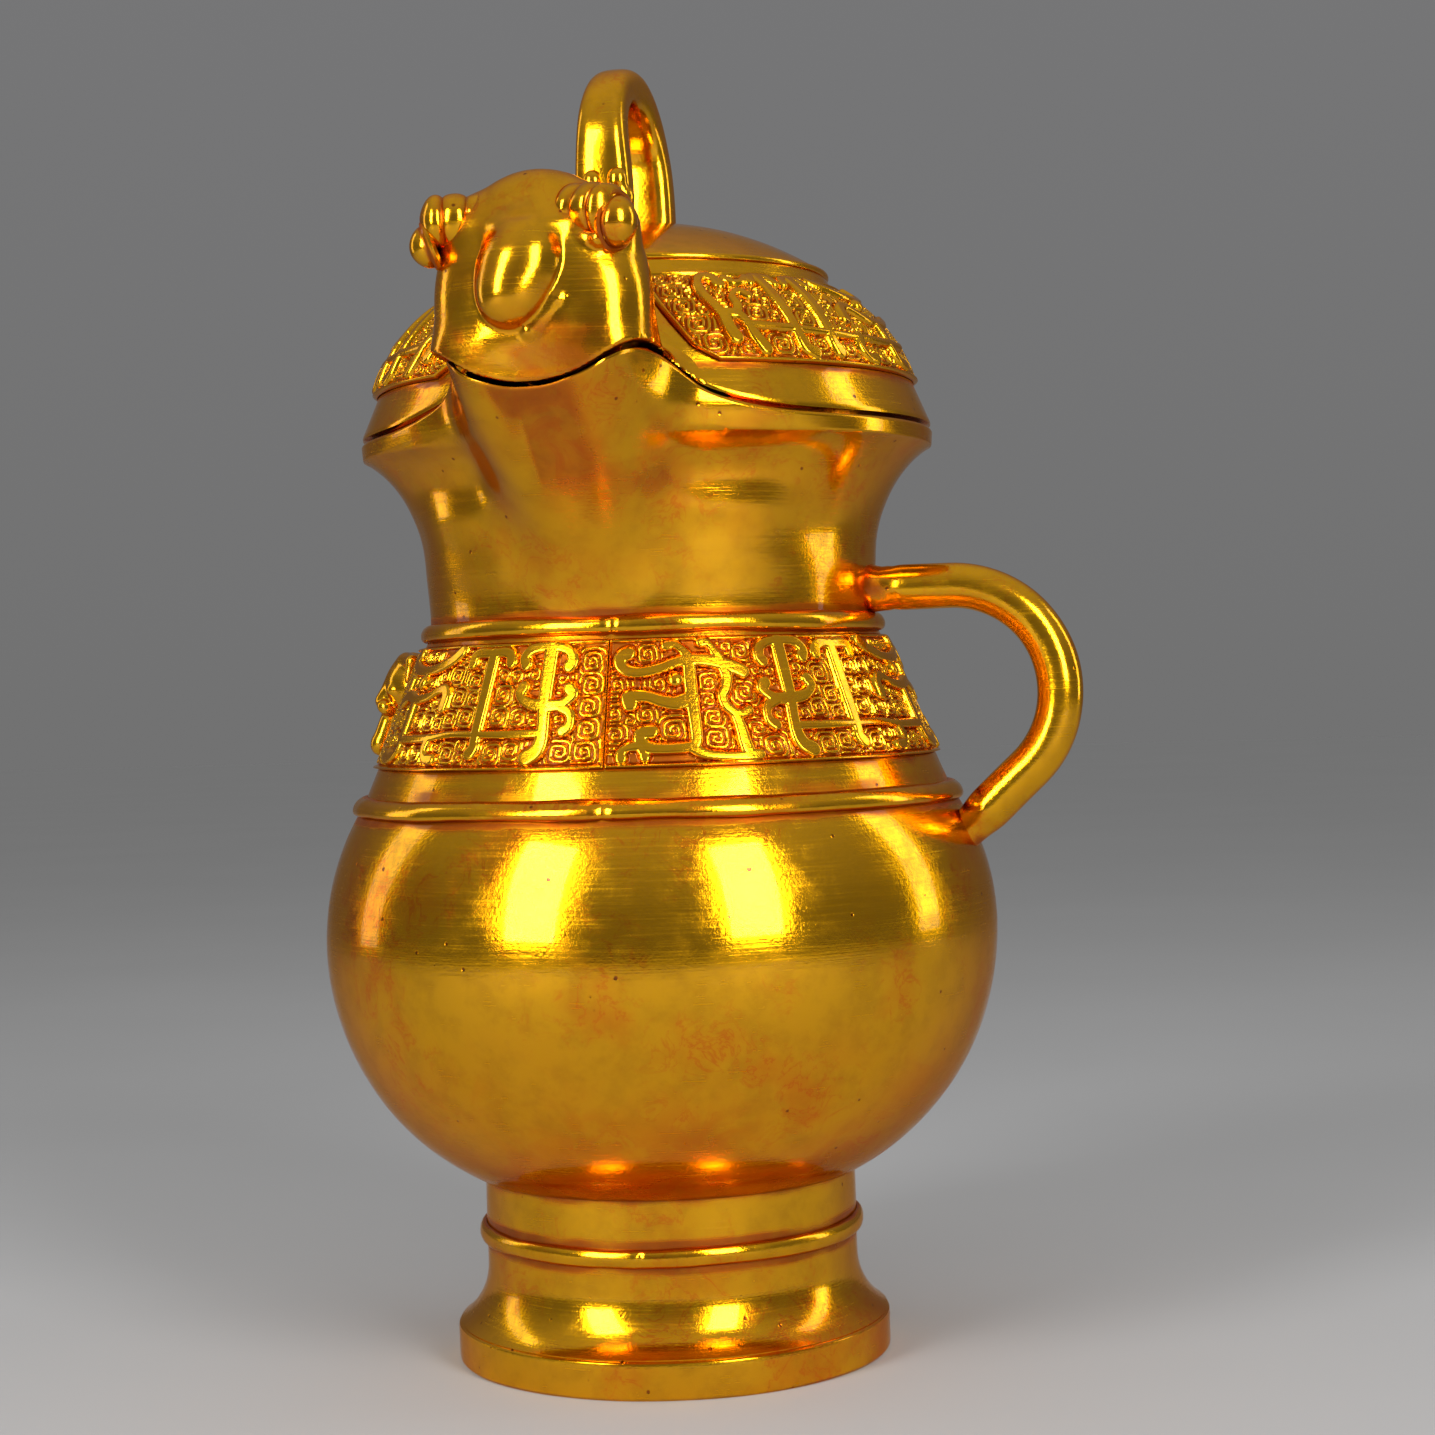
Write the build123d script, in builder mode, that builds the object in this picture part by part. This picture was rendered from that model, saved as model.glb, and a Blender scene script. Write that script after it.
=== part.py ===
from build123d import *
import os
from math import asin, atan, cos, degrees, hypot, radians, sin, sqrt, tan

# A lidded bronze hu with a trough spout, a side handle and an animal head on its lid.
# The origin is the centre of the foot's resting face, +Z is up, the spout points to -Y,
# the side handle to +X and the beast mask to -X. All sizes are in millimetres.

# Walls and fits
wall = 3.0  # cast wall of belly, neck, lid and head
foot_wall = 4.0  # cast wall of the ring foot
braze_gap = 0.1  # film of braze between a piece and the wall that carries it
seam_gap = 0.3  # open butt seam between two halves of an applied band
lid_gap = 1.2  # dark line between the lid's edge and the rim
seat_gap = 0.3  # rest of the lid's tongue on the flared mouth

# Ring foot
foot_radius = 56.0
flange_height = 9.5
sweep_height = 14.5  # concave sweep from the flange up to the stem
stem_radius = 48.0
foot_height = 47.0
foot_cord_height = 32.8

# Belly and shoulder, in steps up from the foot
belly_step = 1.5  # ledge where the belly overhangs the stem
belly_lower_height = 60.5
belly_upper_height = 35.5
belly_radius = 86.6
shoulder_radius = 76.0
lower_strip_height = 9.5
frieze_height = 30.5
upper_strip_height = 3.5
frieze_thickness = 1.5
seam_angle = 6.0  # front seam of the frieze, turned from the spout towards the handle

# Raised cords, half round
cord_height = 4.8
cord_depth = 2.6

# Neck, flared mouth and rim
neck_radius = 57.5
neck_height = 16.5
flare_height = 28.0
rim_radius = 74.0
rim_lip = 1.0  # the rim band stands out from the flare
rim_band_height = 4.0

# Trough spout
spout_reach = 97.6  # from the axis to the middle of the lip
spout_half_width = 25.0
keel_half_width = 20.0
keel_rise = 5.0  # the keel leaves the neck this far under the flare
lip_rise = 4.6  # middle of the lip over the rim
corner_rise = 13.0  # corners of the trough over the rim
ramp_run = 18.5  # from a corner out to the level rim
corner_share = 0.6  # rounding of the trough's corners, as a share of its half width

# Side handle
handle_thickness = 11.6
handle_reach = 105.0  # from the axis to the middle of the bar
handle_bend = 27.0
handle_lift = 8.0  # bar centre over the upper cord
handle_drop_angle = 43.0  # slope of the lower run

# Beast mask on the frieze
mask_width = 18.0
mask_depth = 8.0
crest_half_length = 8.5
snout_length = 17.0
snout_radius = 3.6
snout_tip_radius = 4.2

# Lid
lid_inset = 0.5  # the lid's edge stands inside the rim
lid_band_height = 10.0
lid_band_taper = 4.3
panel_rise = 24.0
panel_bulge = 3.4  # sagitta of the convex slope
panel_thickness = 1.5
panel_margin = 0.8  # plain edge above and below a panel
panel_front_low = 30.0  # front end of a panel at its lower border, degrees from the spout
panel_front_high = 18.0  # front end of a panel at the crown
crown_radius = 49.5
crown_band_height = 5.5
crown_taper = 2.0
dome_rise = 14.5
tongue_wall = 2.5
tongue_depth = 7.0  # tongue under the rim
tongue_ledge = 2.5  # thickness of the ledge that joins the tongue to the lid

# Animal head over the spout
head_half_width = 25.0
head_overhang = 0.9  # the head's front stands past the middle of the lip
head_back = 66.0
brow_rise = 38.0  # brow over the rim, where the skull starts to close
skull_rise = 15.0
skull_steps = 4  # outlines that the closing skull is drawn through
skull_closing = 0.95  # share of the skull's rise at its last outline
nose_sink = 0.5  # centre of the nose behind the head's front
nose_rise = 28.5
nose_half_width = 10.0
nose_half_height = 12.5
eye_sink = 4.5  # axis of the eyes behind the head's front
eye_lift = 1.0  # axis of the eyes over the brow
brow_inset = 14.0  # a brow roll starts this far inside the cheek
brow_band = 5.5
brow_bands = 2
brow_radius = 6.4
groove_depth = 0.8
eye_radius = 5.6
eye_length = 6.5

# Bail on the crown
bail_front = 33.0
bail_rear = 5.5
bail_width = 12.5
bail_thickness = 10.0
bail_corner = 3.6
bail_rise = 37.5  # top of the bail over the dome

# Heights worked out from the steps above
belly_z = foot_height + belly_lower_height
lower_cord_z = belly_z + belly_upper_height
frieze_z = lower_cord_z + lower_strip_height
frieze_top = frieze_z + frieze_height
upper_cord_z = frieze_top + upper_strip_height
flare_z = upper_cord_z + neck_height
flare_top = flare_z + flare_height
rim_z = flare_top + rim_band_height
lip_z = rim_z + lip_rise
keel_z = flare_z - keel_rise
lid_z = rim_z + lid_gap
panel_z = lid_z + lid_band_height
crown_z = panel_z + panel_rise
dome_z = crown_z + crown_band_height
dome_top = dome_z + dome_rise
bail_top = dome_top + bail_rise
brow_z = rim_z + brow_rise
eye_z = brow_z + eye_lift

# Radii and other sizes worked out from the ones above
joint_radius = stem_radius + belly_step
flare_end = rim_radius - rim_lip
lid_edge_radius = rim_radius - lid_inset
band_top_radius = lid_edge_radius - lid_band_taper
dome_radius = crown_radius - crown_taper
corner_x = spout_half_width - wall / 2
head_reach = spout_reach + head_overhang
nose_forward = head_reach - nose_sink
eye_forward = head_reach - eye_sink
brow_start = head_half_width - brow_inset
ramp_x = spout_half_width + ramp_run
ramp_y = sqrt(rim_radius**2 - ramp_x**2)
above_z = rim_z + 2 * corner_rise  # clear of the highest point of the rim's edge line
far = 2 * spout_reach


def tangent_radius(run, rise):
    """Radius of an arc that starts upright and ends run further out and rise further along."""
    return (run**2 + rise**2) / (2 * run)


def shoulder_at(height):
    """Radius of the straight shoulder at a height between the two cords."""
    share = (height - lower_cord_z) / (upper_cord_z - lower_cord_z)
    return shoulder_radius + share * (neck_radius - shoulder_radius)


lower_belly_arc = tangent_radius(belly_radius - joint_radius, belly_lower_height)
flare_arc = tangent_radius(flare_end - neck_radius, flare_height)
flare_centre = neck_radius + flare_arc
floor_z = foot_height + wall
floor_drop = belly_z - floor_z
floor_radius = belly_radius - lower_belly_arc + sqrt((lower_belly_arc - wall) ** 2 - floor_drop**2)
flare_inner_end = flare_centre - sqrt((flare_arc + wall) ** 2 - flare_height**2)
tongue_z = rim_z - tongue_depth
tongue_radius = flare_centre - sqrt((flare_arc + wall + seat_gap) ** 2 - (tongue_z - flare_z) ** 2)


# Ring foot, open underneath
with BuildPart() as ring_foot:
    with BuildSketch(Plane.XZ):
        with BuildLine():
            Polyline((foot_radius - foot_wall, 0), (foot_radius, 0), (foot_radius, flange_height))
            TangentArc(
                (stem_radius, flange_height + sweep_height),
                (foot_radius, flange_height),
                tangent=(0, -1),
            )
            Polyline(
                (stem_radius, flange_height + sweep_height),
                (stem_radius, foot_height),
                (stem_radius - foot_wall, foot_height),
                (stem_radius - foot_wall, flange_height + sweep_height),
            )
            TangentArc(
                (stem_radius - foot_wall, flange_height + sweep_height),
                (foot_radius - foot_wall, flange_height),
                tangent=(0, -1),
            )
            Line((foot_radius - foot_wall, flange_height), (foot_radius - foot_wall, 0))
        make_face()
    revolve(axis=Axis.Z)

# Belly with its floor and shoulder, up to the joint under the upper cord
with BuildPart() as belly_shell:
    with BuildSketch(Plane.XZ):
        with BuildLine():
            Polyline((0, floor_z), (0, foot_height), (joint_radius, foot_height))
            TangentArc((belly_radius, belly_z), (joint_radius, foot_height), tangent=(0, -1))
            TangentArc((belly_radius, belly_z), (shoulder_radius, lower_cord_z), tangent=(0, 1))
            Polyline(
                (shoulder_radius, lower_cord_z),
                (neck_radius, upper_cord_z),
                (neck_radius - wall, upper_cord_z),
                (shoulder_radius - wall, lower_cord_z),
            )
            TangentArc(
                (belly_radius - wall, belly_z), (shoulder_radius - wall, lower_cord_z), tangent=(0, 1)
            )
            TangentArc((belly_radius - wall, belly_z), (floor_radius, floor_z), tangent=(0, -1))
            Line((floor_radius, floor_z), (0, floor_z))
        make_face()
    revolve(axis=Axis.Z)


def draw_vessel(grow, mode):
    """Filled outline of foot, belly and neck, from the axis out, each radius larger by grow."""
    with BuildLine() as outline:
        Polyline(
            (stem_radius + grow, foot_height), (stem_radius + grow, 0), (0, 0), (0, flare_top),
            (flare_end + grow, flare_top),
        )
        TangentArc((neck_radius + grow, flare_z), (flare_end + grow, flare_top), tangent=(0, 1))
        Polyline(
            (neck_radius + grow, flare_z),
            (neck_radius + grow, upper_cord_z),
            (shoulder_radius + grow, lower_cord_z),
        )
        TangentArc((belly_radius + grow, belly_z), (shoulder_radius + grow, lower_cord_z), tangent=(0, 1))
        TangentArc((belly_radius + grow, belly_z), (joint_radius + grow, foot_height), tangent=(0, -1))
        Line((joint_radius + grow, foot_height), (stem_radius + grow, foot_height))
    make_face(outline.edges(), mode=mode)


def cord_ring(radius, height):
    """Half-round cord brazed round the vessel, with its back shaped to the wall."""
    with BuildPart() as cord:
        with BuildSketch(Plane.XZ):
            with Locations((radius, height)):
                Ellipse(cord_depth, cord_height / 2)
            draw_vessel(braze_gap, Mode.SUBTRACT)
        revolve(axis=Axis.Z)
    return cord.part


# Three raised cords
with BuildPart() as foot_cord:
    add(cord_ring(stem_radius, foot_cord_height))

with BuildPart() as lower_cord:
    add(cord_ring(shoulder_radius, lower_cord_z))

with BuildPart() as upper_cord:
    add(cord_ring(neck_radius, upper_cord_z))


def frieze_half(start_angle):
    """Half of the applied frieze, running 180 degrees from a seam at start_angle round +Z."""
    seam_turn = degrees(seam_gap / shoulder_at(frieze_top))
    turn = radians(start_angle + seam_turn / 2)
    across = Plane(origin=(0, 0, 0), x_dir=(cos(turn), sin(turn), 0), z_dir=(sin(turn), -cos(turn), 0))
    with BuildPart() as half:
        with BuildSketch(across):
            Polygon(
                (shoulder_at(frieze_z) + braze_gap, frieze_z),
                (shoulder_at(frieze_z) + frieze_thickness, frieze_z),
                (shoulder_at(frieze_top) + frieze_thickness, frieze_top),
                (shoulder_at(frieze_top) + braze_gap, frieze_top),
                align=None,
            )
        revolve(axis=Axis.Z, revolution_arc=180 - seam_turn)
    return half.part


# Dragon frieze in two halves, butted at the front seam and at the back
with BuildPart() as frieze_right:
    add(frieze_half(seam_angle - 90))

with BuildPart() as frieze_left:
    add(frieze_half(seam_angle + 90))


def parting_block(lift, far_z):
    """Space between the rim's edge line, raised by lift, and the level far_z."""
    edge_z = rim_z + lift
    edge_points = (
        (-ramp_x, edge_z),
        (-corner_x, edge_z + corner_rise),
        (0, edge_z + lip_rise),
        (corner_x, edge_z + corner_rise),
        (ramp_x, edge_z),
    )
    with BuildPart() as block:
        with BuildSketch(Plane.XZ.offset(ramp_y)):
            with BuildLine():
                Polyline((-ramp_x, edge_z), (-far, edge_z), (-far, far_z), (far, far_z), (far, edge_z))
                Line((far, edge_z), (ramp_x, edge_z))
                Spline(*edge_points, tangents=[(1, 0)] * len(edge_points))
            make_face()
        extrude(amount=far)
        with BuildSketch(Plane.XZ.offset(ramp_y)):
            Polygon((-far, edge_z), (far, edge_z), (far, far_z), (-far, far_z), align=None)
        extrude(amount=-far)
    return block.part


def trough_block(inset, keel_inset):
    """Solid trough from the keel to above its corners, drawn in by a side and a keel inset."""
    keel_slope = (spout_reach - neck_radius) / (lip_z - keel_z)
    levels = (
        (keel_z, keel_half_width, neck_radius),
        (lip_z, spout_half_width, spout_reach),
        (above_z, spout_half_width, spout_reach + keel_slope * (above_z - lip_z)),
    )
    with BuildPart() as block:
        for level, half_width, reach in levels:
            with BuildSketch(Plane.XY.offset(level)):
                with Locations((0, -(reach - keel_inset) / 2)):
                    RectangleRounded(
                        2 * (half_width - inset), reach - keel_inset, corner_share * (half_width - inset)
                    )
        loft(ruled=True)
    return block.part


# Neck with its flared mouth, rim and trough spout
keel_angle = atan((spout_reach - neck_radius) / (lip_z - keel_z))
with BuildPart() as neck_shell:
    with BuildSketch(Plane.XZ):
        with BuildLine():
            Polyline((0, upper_cord_z), (neck_radius, upper_cord_z), (neck_radius, flare_z))
            TangentArc((neck_radius, flare_z), (flare_end, flare_top), tangent=(0, 1))
            Polyline(
                (flare_end, flare_top),
                (rim_radius, flare_top),
                (rim_radius, above_z),
                (0, above_z),
                (0, upper_cord_z),
            )
        make_face()
    revolve(axis=Axis.Z)
    add(trough_block(0, 0))
    with BuildSketch(Plane.XZ):
        with BuildLine():
            Polyline((0, upper_cord_z), (neck_radius - wall, upper_cord_z), (neck_radius - wall, flare_z))
            TangentArc((neck_radius - wall, flare_z), (flare_inner_end, flare_top), tangent=(0, 1))
            Polyline(
                (flare_inner_end, flare_top),
                (rim_radius - wall, rim_z),
                (rim_radius - wall, above_z),
                (0, above_z),
                (0, upper_cord_z),
            )
        make_face()
    revolve(axis=Axis.Z, mode=Mode.SUBTRACT)
    add(trough_block(wall, wall / cos(keel_angle)), mode=Mode.SUBTRACT)
    add(parting_block(0, above_z + corner_rise), mode=Mode.SUBTRACT)

# Round-bar side handle, its ends shaped to the neck, the belly and the upper cord
handle_z = upper_cord_z + handle_lift
bend_x = handle_reach - handle_bend
with BuildPart() as side_handle:
    with BuildLine(Plane.XZ) as handle_path:
        Line((neck_radius - wall, handle_z), (bend_x, handle_z))
        bend = CenterArc((bend_x, handle_z - handle_bend), handle_bend, 90, handle_drop_angle - 180)
        low = bend @ 1
        run_in = low.X - neck_radius
        Line((low.X, low.Z), (neck_radius, low.Z - run_in * tan(radians(handle_drop_angle))))
    with BuildSketch(Plane(origin=handle_path.line @ 0, z_dir=handle_path.line % 0)):
        Circle(handle_thickness / 2)
    sweep()
    with BuildSketch(Plane.XZ):
        draw_vessel(braze_gap, Mode.ADD)
        with Locations((neck_radius, upper_cord_z)):
            Ellipse(cord_depth + braze_gap, cord_height / 2 + braze_gap)
        with Locations((shoulder_radius, lower_cord_z)):
            Ellipse(cord_depth + braze_gap, cord_height / 2 + braze_gap)
    revolve(axis=Axis.Z, mode=Mode.SUBTRACT)

# Small beast mask: a rounded crest and a hanging snout, backed by the frieze
mask_z = frieze_z + frieze_height / 2
mask_lean = atan((shoulder_radius - neck_radius) / (upper_cord_z - lower_cord_z))
mask_plane = Plane(
    origin=(-shoulder_at(mask_z) - frieze_thickness, 0, mask_z),
    x_dir=(0, -1, 0),
    z_dir=(-cos(mask_lean), 0, sin(mask_lean)),
)
crest_side = Plane(
    origin=mask_plane.from_local_coords((0, frieze_height / 2 - crest_half_length, 0)),
    x_dir=mask_plane.y_dir,
    z_dir=mask_plane.x_dir,
)
snout_top = Plane(
    origin=mask_plane.from_local_coords((0, frieze_height / 2 - crest_half_length, snout_radius / 2)),
    x_dir=mask_plane.x_dir,
    z_dir=-mask_plane.y_dir,
)
with BuildPart() as beast_mask:
    with BuildSketch(crest_side):
        Ellipse(crest_half_length, mask_depth)
    extrude(amount=mask_width / 2, both=True)
    with BuildSketch(snout_top):
        Circle(snout_radius)
    extrude(amount=snout_length)
    with Locations(snout_top.offset(snout_length)):
        Sphere(snout_tip_radius)
    with BuildSketch(Plane.XZ):
        Polygon(
            (0, lower_cord_z),
            (shoulder_radius + frieze_thickness + braze_gap, lower_cord_z),
            (neck_radius + frieze_thickness + braze_gap, upper_cord_z),
            (0, upper_cord_z),
            align=None,
        )
    revolve(axis=Axis.Z, mode=Mode.SUBTRACT)


# Convex slope of the lid, as an arc from the top of its band to the crown
slope_run = band_top_radius - crown_radius
slope_chord = hypot(slope_run, panel_rise)
slope_arc = (slope_chord**2 / 4 + panel_bulge**2) / (2 * panel_bulge)
slope_normal = Vector(panel_rise, slope_run).normalized()
slope_middle = Vector(band_top_radius + crown_radius, panel_z + crown_z) / 2
slope_centre = slope_middle - slope_normal * (slope_arc - panel_bulge)


def slope_point(end, inset, grow):
    """Point of the slope near its lower (-1), middle (0) or upper (+1) end, drawn in and grown."""
    half_turn = degrees((slope_chord / 2 - inset) / slope_arc)
    return slope_centre + slope_normal.rotate(Axis.Z, end * half_turn) * (slope_arc + grow)


def draw_lid(grow, mode):
    """Filled outline of the lid and its crown, from the axis out, each radius larger by grow."""
    with BuildLine() as outline:
        Polyline(
            (0, dome_top + grow), (0, lid_z), (lid_edge_radius + grow, lid_z),
            (band_top_radius + grow, panel_z),
        )
        ThreePointArc(
            (band_top_radius + grow, panel_z), slope_point(0, 0, grow), (crown_radius + grow, crown_z)
        )
        Line((crown_radius + grow, crown_z), (dome_radius + grow, dome_z))
        TangentArc((0, dome_top + grow), (dome_radius + grow, dome_z), tangent=(1, 0))
    make_face(outline.edges(), mode=mode)


# Lid cover, its edge cut to the rim's line
with BuildPart() as lid_shell:
    with BuildSketch(Plane.XZ):
        with BuildLine():
            Polyline(
                (crown_radius, crown_z),
                (crown_radius - wall, crown_z),
            )
            ThreePointArc(
                (crown_radius - wall, crown_z), slope_point(0, 0, -wall), (band_top_radius - wall, panel_z)
            )
            Polyline(
                (band_top_radius - wall, panel_z),
                (lid_edge_radius - wall, lid_z),
                (lid_edge_radius, lid_z),
                (band_top_radius, panel_z),
            )
            ThreePointArc((band_top_radius, panel_z), slope_point(0, 0, 0), (crown_radius, crown_z))
        make_face()
    revolve(axis=Axis.Z)
    add(parting_block(lid_gap, flare_z), mode=Mode.SUBTRACT)

# Inner tongue that drops into the mouth, joined to the lid by a ledge
ledge_top = lid_z + tongue_ledge
ledge_radius = lid_edge_radius - wall - braze_gap
ledge_top_radius = ledge_radius - lid_band_taper * tongue_ledge / lid_band_height
with BuildPart() as lid_tongue:
    with BuildSketch(Plane.XZ):
        Polygon(
            (tongue_radius - tongue_wall, tongue_z),
            (tongue_radius, tongue_z),
            (tongue_radius, lid_z),
            (ledge_radius, lid_z),
            (ledge_top_radius, ledge_top),
            (tongue_radius - tongue_wall, ledge_top),
            align=None,
        )
    revolve(axis=Axis.Z)

# Domed crown, seated on the flat top of the lid cover
with BuildPart() as lid_crown:
    with BuildSketch(Plane.XZ):
        with BuildLine():
            Polyline((dome_radius, dome_z), (crown_radius, crown_z), (crown_radius - wall, crown_z))
            Line((crown_radius - wall, crown_z), (dome_radius - wall, dome_z))
            TangentArc((0, dome_top - wall), (dome_radius - wall, dome_z), tangent=(1, 0))
            Line((0, dome_top - wall), (0, dome_top))
            TangentArc((0, dome_top), (dome_radius, dome_z), tangent=(1, 0))
        make_face()
    revolve(axis=Axis.Z)


def ring_point(radius, angle):
    """Point in plan at an angle from the spout towards the handle."""
    return Vector(radius * sin(radians(angle)), -radius * cos(radians(angle)))


# Ornamented plates on the slope, with slanting front ends
border_high = ring_point(crown_radius, panel_front_high)
border_low = ring_point(band_top_radius, panel_front_low)
border_step = (border_low - border_high).normalized() * far
with BuildPart() as panel_right:
    with BuildSketch(Plane.YZ):
        with BuildLine():
            ThreePointArc(*[slope_point(end, panel_margin, braze_gap) for end in (-1, 0, 1)])
            Line(slope_point(1, panel_margin, braze_gap), slope_point(1, panel_margin, panel_thickness))
            ThreePointArc(*[slope_point(end, panel_margin, panel_thickness) for end in (1, 0, -1)])
            Line(slope_point(-1, panel_margin, panel_thickness), slope_point(-1, panel_margin, braze_gap))
        make_face()
    revolve(axis=Axis.Z, revolution_arc=-180)
    with BuildSketch(Plane.XY.offset(panel_z - wall)):
        Polygon(
            border_high - border_step,
            border_low + border_step,
            (far, -far),
            (-far, -far),
            align=None,
        )
    extrude(amount=2 * panel_rise, mode=Mode.SUBTRACT)
    with BuildSketch(Plane.XY.offset(panel_z - wall)):
        Polygon((-far, -far), (seam_gap / 2, -far), (seam_gap / 2, far), (-far, far), align=None)
    extrude(amount=2 * panel_rise, mode=Mode.SUBTRACT)

with BuildPart() as panel_left:
    mirror(panel_right.part, about=Plane.YZ)


def head_block(grow):
    """Solid head over the spout: straight cheeks, a closing skull and a round nose, grown all round."""
    half_width = head_half_width + grow
    half_length = (head_reach - head_back) / 2 + grow
    middle = (head_reach + head_back) / 2
    corner = corner_share * min(half_width, half_length)
    top_rise = skull_rise + grow
    last_turn = asin(skull_closing)
    with BuildPart() as block:
        for step in range(skull_steps):
            turn = last_turn * step / (skull_steps - 1)
            share = cos(turn)
            with BuildSketch(Plane.XY.offset(brow_z + sin(turn) * top_rise)):
                with Locations((0, -middle)):
                    RectangleRounded(2 * share * half_width, 2 * share * half_length, share * corner)
        loft()
        with BuildSketch(Plane.XY.offset(rim_z)):
            with Locations((0, -middle)):
                RectangleRounded(2 * half_width, 2 * half_length, corner)
        extrude(amount=brow_rise)
        with BuildSketch(Plane.XZ.offset(nose_forward)):
            with Locations((0, rim_z + nose_rise)):
                Ellipse(nose_half_width + grow, nose_half_height + grow)
            with Locations((-far / 2, rim_z)):
                Rectangle(far, far, mode=Mode.SUBTRACT)
        revolve(axis=Axis((0, -nose_forward, 0), (0, 0, 1)))
    return block.part


# Hollow cast head, shaped to the lid behind it and to the lip under it
with BuildPart() as beast_head:
    add(head_block(0))
    add(head_block(-wall), mode=Mode.SUBTRACT)
    with BuildSketch(Plane.XZ):
        draw_lid(braze_gap, Mode.ADD)
    revolve(axis=Axis.Z, mode=Mode.SUBTRACT)
    add(parting_block(lid_gap, flare_z), mode=Mode.SUBTRACT)

# Banded roll on the right brow, with the eye at its end
eye_axis = Axis((0, -eye_forward, eye_z), (1, 0, 0))
eye_plane = Plane(origin=(0, -eye_forward, eye_z), x_dir=(1, 0, 0), z_dir=(0, -1, 0))
brow_end = brow_start + brow_bands * brow_band
with BuildPart() as brow_right:
    with BuildSketch(eye_plane):
        with BuildLine():
            for band in range(brow_bands):
                start_x = brow_start + band * brow_band
                ThreePointArc(
                    (start_x, brow_radius - groove_depth),
                    (start_x + brow_band / 2, brow_radius),
                    (start_x + brow_band, brow_radius - groove_depth),
                )
            Polyline(
                (brow_end, brow_radius - groove_depth),
                (brow_end, 0),
                (brow_start, 0),
                (brow_start, brow_radius - groove_depth),
            )
        make_face()
    revolve(axis=eye_axis)
    add(head_block(braze_gap), mode=Mode.SUBTRACT)

with BuildPart() as eye_right:
    with BuildSketch(eye_plane):
        with Locations((brow_end + braze_gap, 0)):
            Ellipse(eye_length, eye_radius)
            with Locations((0, -far / 2)):
                Rectangle(far, far, mode=Mode.SUBTRACT)
            with Locations((-far / 2, 0)):
                Rectangle(far, far, mode=Mode.SUBTRACT)
    revolve(axis=eye_axis)
    add(head_block(braze_gap), mode=Mode.SUBTRACT)

with BuildPart() as brow_left:
    mirror(brow_right.part, about=Plane.YZ)

with BuildPart() as eye_left:
    mirror(eye_right.part, about=Plane.YZ)

# Arched bail, its feet shaped to the dome
bail_bend = (bail_front + bail_rear) / 2
spring_z = bail_top - bail_thickness / 2 - bail_bend
with BuildPart() as lid_bail:
    with BuildLine(Plane.YZ) as bail_path:
        Line((-bail_front, dome_z), (-bail_front, spring_z))
        TangentArc((-bail_front, spring_z), (bail_rear, spring_z), tangent=(0, 1))
        Line((bail_rear, spring_z), (bail_rear, dome_z))
    with BuildSketch(Plane(origin=bail_path.line @ 0, x_dir=(1, 0, 0), z_dir=bail_path.line % 0)):
        RectangleRounded(bail_width, bail_thickness, bail_corner)
    sweep()
    with BuildSketch(Plane.XZ):
        draw_lid(braze_gap, Mode.ADD)
    revolve(axis=Axis.Z, mode=Mode.SUBTRACT)

pieces = {
    "ring_foot": ring_foot,
    "foot_cord": foot_cord,
    "belly_shell": belly_shell,
    "lower_cord": lower_cord,
    "frieze_right": frieze_right,
    "frieze_left": frieze_left,
    "upper_cord": upper_cord,
    "neck_shell": neck_shell,
    "side_handle": side_handle,
    "beast_mask": beast_mask,
    "lid_shell": lid_shell,
    "lid_tongue": lid_tongue,
    "lid_crown": lid_crown,
    "panel_right": panel_right,
    "panel_left": panel_left,
    "beast_head": beast_head,
    "brow_right": brow_right,
    "brow_left": brow_left,
    "eye_right": eye_right,
    "eye_left": eye_left,
    "lid_bail": lid_bail,
}
os.makedirs("parts", exist_ok=True)
for name, piece in pieces.items():
    piece.part.label = name
    export_step(piece.part, f"parts/{name}.step")
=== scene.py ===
from math import asin, atan2, cos, hypot, pi, radians, sin, tan

import bmesh
import bpy
import numpy as np
from mathutils import Euler, Matrix, Vector


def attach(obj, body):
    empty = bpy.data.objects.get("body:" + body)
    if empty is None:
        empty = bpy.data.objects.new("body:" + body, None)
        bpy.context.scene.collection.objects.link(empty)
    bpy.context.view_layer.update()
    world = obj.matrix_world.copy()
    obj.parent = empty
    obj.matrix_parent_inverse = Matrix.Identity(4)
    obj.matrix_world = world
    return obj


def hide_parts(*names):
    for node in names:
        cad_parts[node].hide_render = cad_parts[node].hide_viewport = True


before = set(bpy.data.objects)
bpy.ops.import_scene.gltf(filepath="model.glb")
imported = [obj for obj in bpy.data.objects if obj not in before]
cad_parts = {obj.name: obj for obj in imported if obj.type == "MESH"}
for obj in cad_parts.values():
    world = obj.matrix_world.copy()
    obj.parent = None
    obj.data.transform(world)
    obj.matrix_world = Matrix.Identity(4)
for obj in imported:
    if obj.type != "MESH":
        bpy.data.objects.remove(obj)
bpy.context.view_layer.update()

# Looks of a lidded gilt bronze hu. The part's frame: the spout points to -Y, the handle to +X and
# the mask to -X. Sizes are in millimetres, and angles go from the spout towards the handle.
MM = 0.001
rng = np.random.default_rng(11)

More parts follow.
